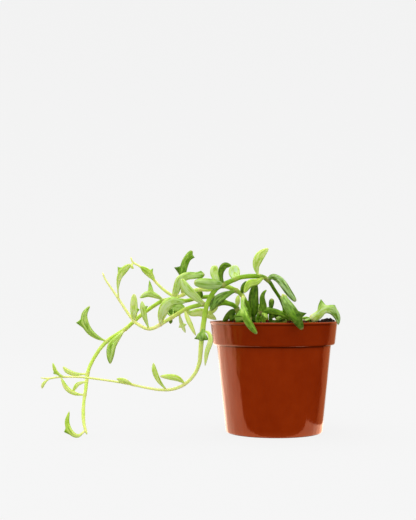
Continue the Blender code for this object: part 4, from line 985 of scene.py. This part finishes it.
def growPlant(name, route, leaves, ages):
    centres = [seen(x, y, z) for x, y, z, _ in route]
    radii = [r for *_, r in route]
    start = centres[0]
    first = centres[1] - start
    foot = Vector((start.x, start.y, (pot["fill"] - grown["rootDepth"]) * mm))
    below = Vector((start.x, start.y, start.z - grown["underSoil"] * mm))
    bend = start + first.normalized() * min(grown["bend"] * mm, first.length / 2)
    centres = [foot, below, start, bend] + centres[1:]
    radii = [radii[0]] * 3 + radii
    pieces, joints = [], []
    for i, shape in enumerate(leaves):
        line = shape["line"]
        root, distance = nearestOn(centres, line[0])
        joints.append(distance)
        pieces.append(wrapLeaf(leafBlank, f"{name}_leaf{i}", shape, [root] + line[1:], grown["leafRings"]))
    stem = wrapStem(f"{name}_skin", centres, radii, ages, joints)
    fuseLeaves(stem, pieces)
    wear(stem, waxyGreen)
    smoothShade(stem)
    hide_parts(name)
    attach(stem, "root")


def leavesByRule(route, span, spacing, draw, look):
    centres = [seen(x, y, z) for x, y, z, _ in route]
    made = []
    place = rule["first"]
    while place < rule["last"]:
        start = pointOn(centres, place)
        along = (pointOn(centres, min(1.0, place + grown["ruleAhead"])) - start).normalized()
        outward = Vector((start.x * rule["outwardX"], start.y, 0.0)).normalized()
        sideways = outward.cross(Vector(up))
        lean = (sideways * -1, sideways, outward)[len(made) % 3]
        heading = (lean + outward * rule["outward"] + along * draw.uniform(*rule["onward"])).normalized()
        length = draw.uniform(*span) * mm
        droop = Vector(up) * draw.uniform(*rule["droop"]) * length
        tip = start + heading * length - droop
        middle = start + heading * length * 0.5 + droop * rule["arch"]
        width = draw.uniform(*rule["width"])
        fins = [(rule["finPlace"], which, width * rule["fin"]) for which in (1, -1)]
        age = rule["age"] - rule["ageFall"] * place + look.uniform(-rule["ageSpread"], rule["ageSpread"])
        shape = leaf(None, width, width * rule["flatness"], fins, up, age=age,
                     bloom=look.uniform(0.0, rule["bloom"]))
        shape["line"] = [start, middle, tip]      # its points are in place already
        made.append(shape)
        place += spacing
    return made


leafBlank = ringedBlank("leafBlank", grown["leafSides"], grown["leafRings"])
for name, plant in plants.items():
    for shape in plant["leaves"]:
        shape["line"] = [seen(*point) for point in shape["points"]]
    growPlant(name, plant["route"], plant["leaves"], plant["ages"])
draw = random.Random(rule["seed"])
look = random.Random(rule["seed"] + 1)
for name, route in ruleShoots.items():
    span, spacing = rule["length"], rule["spacing"]
    if name in rule["short"]:
        span, spacing = rule["shortLength"], rule["shortSpacing"]
    growPlant(name, route, leavesByRule(route, span, spacing, draw, look), rule["stemAges"])
bpy.data.objects.remove(leafBlank, do_unlink=True)
print("stems and leaves grown")


# Soil: the filling of the pot, with a crumbly top, and loose crumbs and bark. Sizes are in mm.

soil = {
    "sides": 96, "middle": 76.6, "topRings": 26, "topBand": 0.05, "gap": 0.3, "smoothAngle": 40, "seed": 5,
    "heap": (38.4, -2.0), "heapReach": 8.5, "heapHeight": 2.8,     # by the rim on the right
    "roughness": 0.9, "lumpSize": 5.5, "grit": 0.5, "gritSize": 1.3, "gritLevel": 7.0,
    "crumbs": 900, "crumbSize": (0.4, 1.2), "crumbReach": 0.975,
    "barkBits": 90, "barkSize": (0.9, 1.9), "barkReach": 0.97,
    "barkX": (-0.8, 0.4), "barkY": (-0.8, 0.8),     # from the heap's middle, as shares of its reach
    "spin": 6.0, "squash": ((0.6, 1.3), (0.6, 1.3), (0.5, 0.9)), "raised": 0.15, "jag": 0.35, "jagSize": 1.7,
}

soilSkin = {
    "dark": (0.003, 0.002, 0.0015, 1), "light": (0.018, 0.010, 0.006, 1), "crumbs": (260.0, 1700.0, 0.7),
    "bark": (0.070, 0.038, 0.020, 1), "barkScale": 850.0, "barkFrom": 0.9, "barkShare": 0.55,
    "bump": (0.7, 0.5),
}


def soilMaterial():
    made, tree, shader = newMaterial("pottingMix", roughness=0.9, Specular_IOR_Level=0.1)
    place = tree.nodes.new("ShaderNodeTexCoord").outputs["Object"]
    crumbs = addSpeckle(tree, place, *soilSkin["crumbs"])
    colour = mixColour(tree, crumbs.outputs["Mask"], soilSkin["dark"], soilSkin["light"])
    flecks = tree.nodes.new("ShaderNodeTexVoronoi")
    flecks.inputs["Scale"].default_value = soilSkin["barkScale"]
    linked(tree, place, flecks.inputs["Vector"])
    chance = splitColour(tree, flecks.outputs["Color"])[0]
    bark = calc(tree, "GREATER_THAN", chance, soilSkin["barkFrom"])
    colour = overlay(tree, bark, soilSkin["barkShare"], colour, soilSkin["bark"])
    linked(tree, colour, shader.inputs["Base Color"])
    linked(tree, addBump(tree, crumbs.outputs["Height"], *soilSkin["bump"]), shader.inputs["Normal"])
    return made


def soilHeight(x, y):
    r = math.hypot(x, y)
    dome = pot["fill"] + (soil["middle"] - pot["fill"]) * (1 - (r / pot["rim"]) ** 2)
    heapX, heapY = soil["heap"]
    away = math.hypot(x - heapX, y - heapY)
    heap = soil["heapHeight"] * max(0.0, 1 - away ** 2 / soil["heapReach"] ** 2)
    lumps = soil["roughness"] * noise.noise(Vector((x, y, 0.0)) / soil["lumpSize"])
    grit = soil["grit"] * noise.noise(Vector((x, y, soil["gritLevel"])) / soil["gritSize"])
    return dome + heap + lumps + grit


def soilRings():
    # a little inside the pot's inner wall, then flat rings across the top
    gap, wall, foot = soil["gap"], pot["wall"], pot["collarFoot"]
    slope = (pot["innerRim"] - pot["collarLow"] + wall) / (pot["collarHeight"] - wall)
    edge = pot["collarLow"] - wall + slope * (pot["fill"] - foot - wall) - gap
    rings = [(pot["innerBase"] - gap * 3, pot["floor"] + gap),
             (pot["bodyTop"] - wall - gap, foot - pot["step"] + gap),
             (pot["collarLow"] - wall - gap, foot + wall + gap), (edge, pot["fill"])]
    count = soil["topRings"]
    return edge, rings + [(edge * (1 - i / count), pot["fill"]) for i in range(1, count)]


def scatterCrumbs(body, edge):
    draw = random.Random(soil["seed"])
    bpy.ops.object.select_all(action="DESELECT")
    bpy.ops.mesh.primitive_ico_sphere_add(subdivisions=1, radius=1.0)
    crumb = bpy.context.active_object
    shape = bmesh.new()
    shape.from_mesh(body.data)
    for i in range(soil["crumbs"] + soil["barkBits"]):
        r = edge * math.sqrt(draw.random()) * soil["crumbReach"]
        turn = draw.uniform(0, math.tau)
        x, y = r * math.cos(turn), r * math.sin(turn)
        size = draw.uniform(*soil["crumbSize"])
        if i >= soil["crumbs"]:                 # coarse bits of bark on the heap
            x = soil["heap"][0] + draw.uniform(*soil["barkX"]) * soil["heapReach"]
            y = soil["heap"][1] + draw.uniform(*soil["barkY"]) * soil["heapReach"]
            size = draw.uniform(*soil["barkSize"])
            if math.hypot(x, y) > edge * soil["barkReach"]:
                continue
        first = len(shape.verts)
        shape.from_mesh(crumb.data)
        shape.verts.ensure_lookup_table()
        spin = Euler([draw.uniform(0, soil["spin"]) for _ in range(3)]).to_matrix()
        squash = Vector([draw.uniform(*span) for span in soil["squash"]])
        middle = Vector((x, y, soilHeight(x, y) + size * soil["raised"]))
        for corner in shape.verts[first:]:
            jag = 1 + soil["jag"] * noise.noise(corner.co * soil["jagSize"] + middle)
            corner.co = (spin @ (corner.co * squash) * jag * size + middle) * mm
    shape.to_mesh(body.data)
    shape.free()
    bpy.data.objects.remove(crumb, do_unlink=True)


def makeSoil():
    edge, rings = soilRings()
    body = pulledRings("soilCrumbs", rings, soil["sides"])
    for corner in body.data.vertices:
        if corner.co.z > (pot["fill"] - soil["topBand"]) * mm:
            corner.co.z = soilHeight(corner.co.x / mm, corner.co.y / mm) * mm
    scatterCrumbs(body, edge)
    wear(body, pottingMix)
    smoothShade(body, soil["smoothAngle"])
    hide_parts("soil")
    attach(body, "root")


pottingMix = soilMaterial()
makeSoil()
print("soil made")


# Studio: a pale round floor that sweeps up on every side, with its sizes in mm, and soft lights

studio = {
    "floor": 1300.0, "curve": 900.0, "wall": 3600.0, "sides": 96, "curveSteps": 17,
    "paper": (0.035, 0.035, 0.035, 1), "glow": 0.86, "white": (1, 1, 1, 1), "above": 1.66, "below": 0.23,
}

# Each soft light is a rectangle: where its middle is and which way it faces, with sizes in metres.
softLights = {
    "leftCard": {"middle": (-0.75, 0.60, 0.45), "facing": (1, 0, 0), "width": 1.2, "height": 0.9,
                 "brightness": 2.8, "colour": (1.0, 0.71, 0.57)},
    "backCard": {"middle": (-0.10, 1.15, 0.20), "facing": (0, -1, 0), "width": 1.3, "height": 1.4,
                 "brightness": 0.9, "colour": (1.0, 0.70, 0.56)},
    "rightCard": {"middle": (0.86, 0.90, 0.20), "facing": (-0.605, -0.796, 0), "width": 0.80, "height": 1.4,
                  "brightness": 0.9, "colour": (1.0, 0.32, 0.12)},
    # the pale floor as the pot's gloss shows it, up to an edge just in front and to the right
    "board": {"middle": (-0.325, 0.333, 0.0005), "facing": (0, 0, 1), "width": 0.75, "height": 0.734,
              "brightness": 2.4, "colour": (1.0, 0.62, 0.45)},
    "topBox": {"middle": (-0.22, 0.18, 1.08), "facing": (0.17, -0.14, -1), "width": 0.8, "height": 0.8,
               "brightness": 2.9, "colour": (1.0, 1.0, 1.0)},
}


def makeStudio():
    # one sheet: a round floor that curves up into a wall on every side
    rise = studio["curve"]
    rings = [(studio["floor"], 0.0)]
    rings += roundCorner(studio["floor"], rise, rise, -90, 0, studio["curveSteps"])[1:]
    rings += [(studio["floor"] + rise, studio["wall"])]
    sweep = pulledRings("paleSweep", rings, studio["sides"])
    paper = newMaterial("palePaper", roughness=0.9, Base_Color=studio["paper"], Specular_IOR_Level=0.0,
                        Emission_Color=studio["white"], Emission_Strength=studio["glow"])[0]
    wear(sweep, paper)
    smoothShade(sweep)
    sweep.visible_glossy = False    # the pot mirrors only the soft lights
    sweep.visible_diffuse = False


def addSoftLight(name, middle, facing, width, height, brightness, colour):
    data = bpy.data.lights.new(name, "AREA")
    data.shape = "RECTANGLE"
    data.size, data.size_y = width, height
    data.energy = brightness * math.pi * width * height
    data.color = colour
    lamp = bpy.data.objects.new(name, data)
    bpy.context.scene.collection.objects.link(lamp)
    lamp.location = middle
    lamp.rotation_euler = Vector(facing).to_track_quat("-Z", "Y").to_euler()
    lamp.visible_camera = False
    lamp.visible_diffuse = name == "topBox"    # the others only show in the gloss
    return lamp


def lightStudio():
    world = bpy.data.worlds.new("softRoom")
    world.use_nodes = True
    tree = world.node_tree
    way = tree.nodes.new("ShaderNodeTexCoord")
    parts = tree.nodes.new("ShaderNodeSeparateXYZ")
    linked(tree, way.outputs["Generated"], parts.inputs[0])
    height = calc(tree, "MULTIPLY_ADD", parts.outputs["Z"], 0.5, 0.5)      # 0 straight down, 1 straight up
    spread = studio["above"] - studio["below"]
    background = tree.nodes["Background"]
    background.inputs["Color"].default_value = studio["white"]
    strength = calc(tree, "MULTIPLY_ADD", height, spread, studio["below"])
    linked(tree, strength, background.inputs["Strength"])
    world.cycles_visibility.glossy = False
    bpy.context.scene.world = world
    lamps = {name: addSoftLight(name, **light) for name, light in softLights.items()}
    lamps["board"].rotation_euler = (math.pi, 0, 0)      # straight up, with its width along X
    bpy.context.scene.view_settings.view_transform = "Standard"


makeStudio()
lightStudio()
print("studio set")
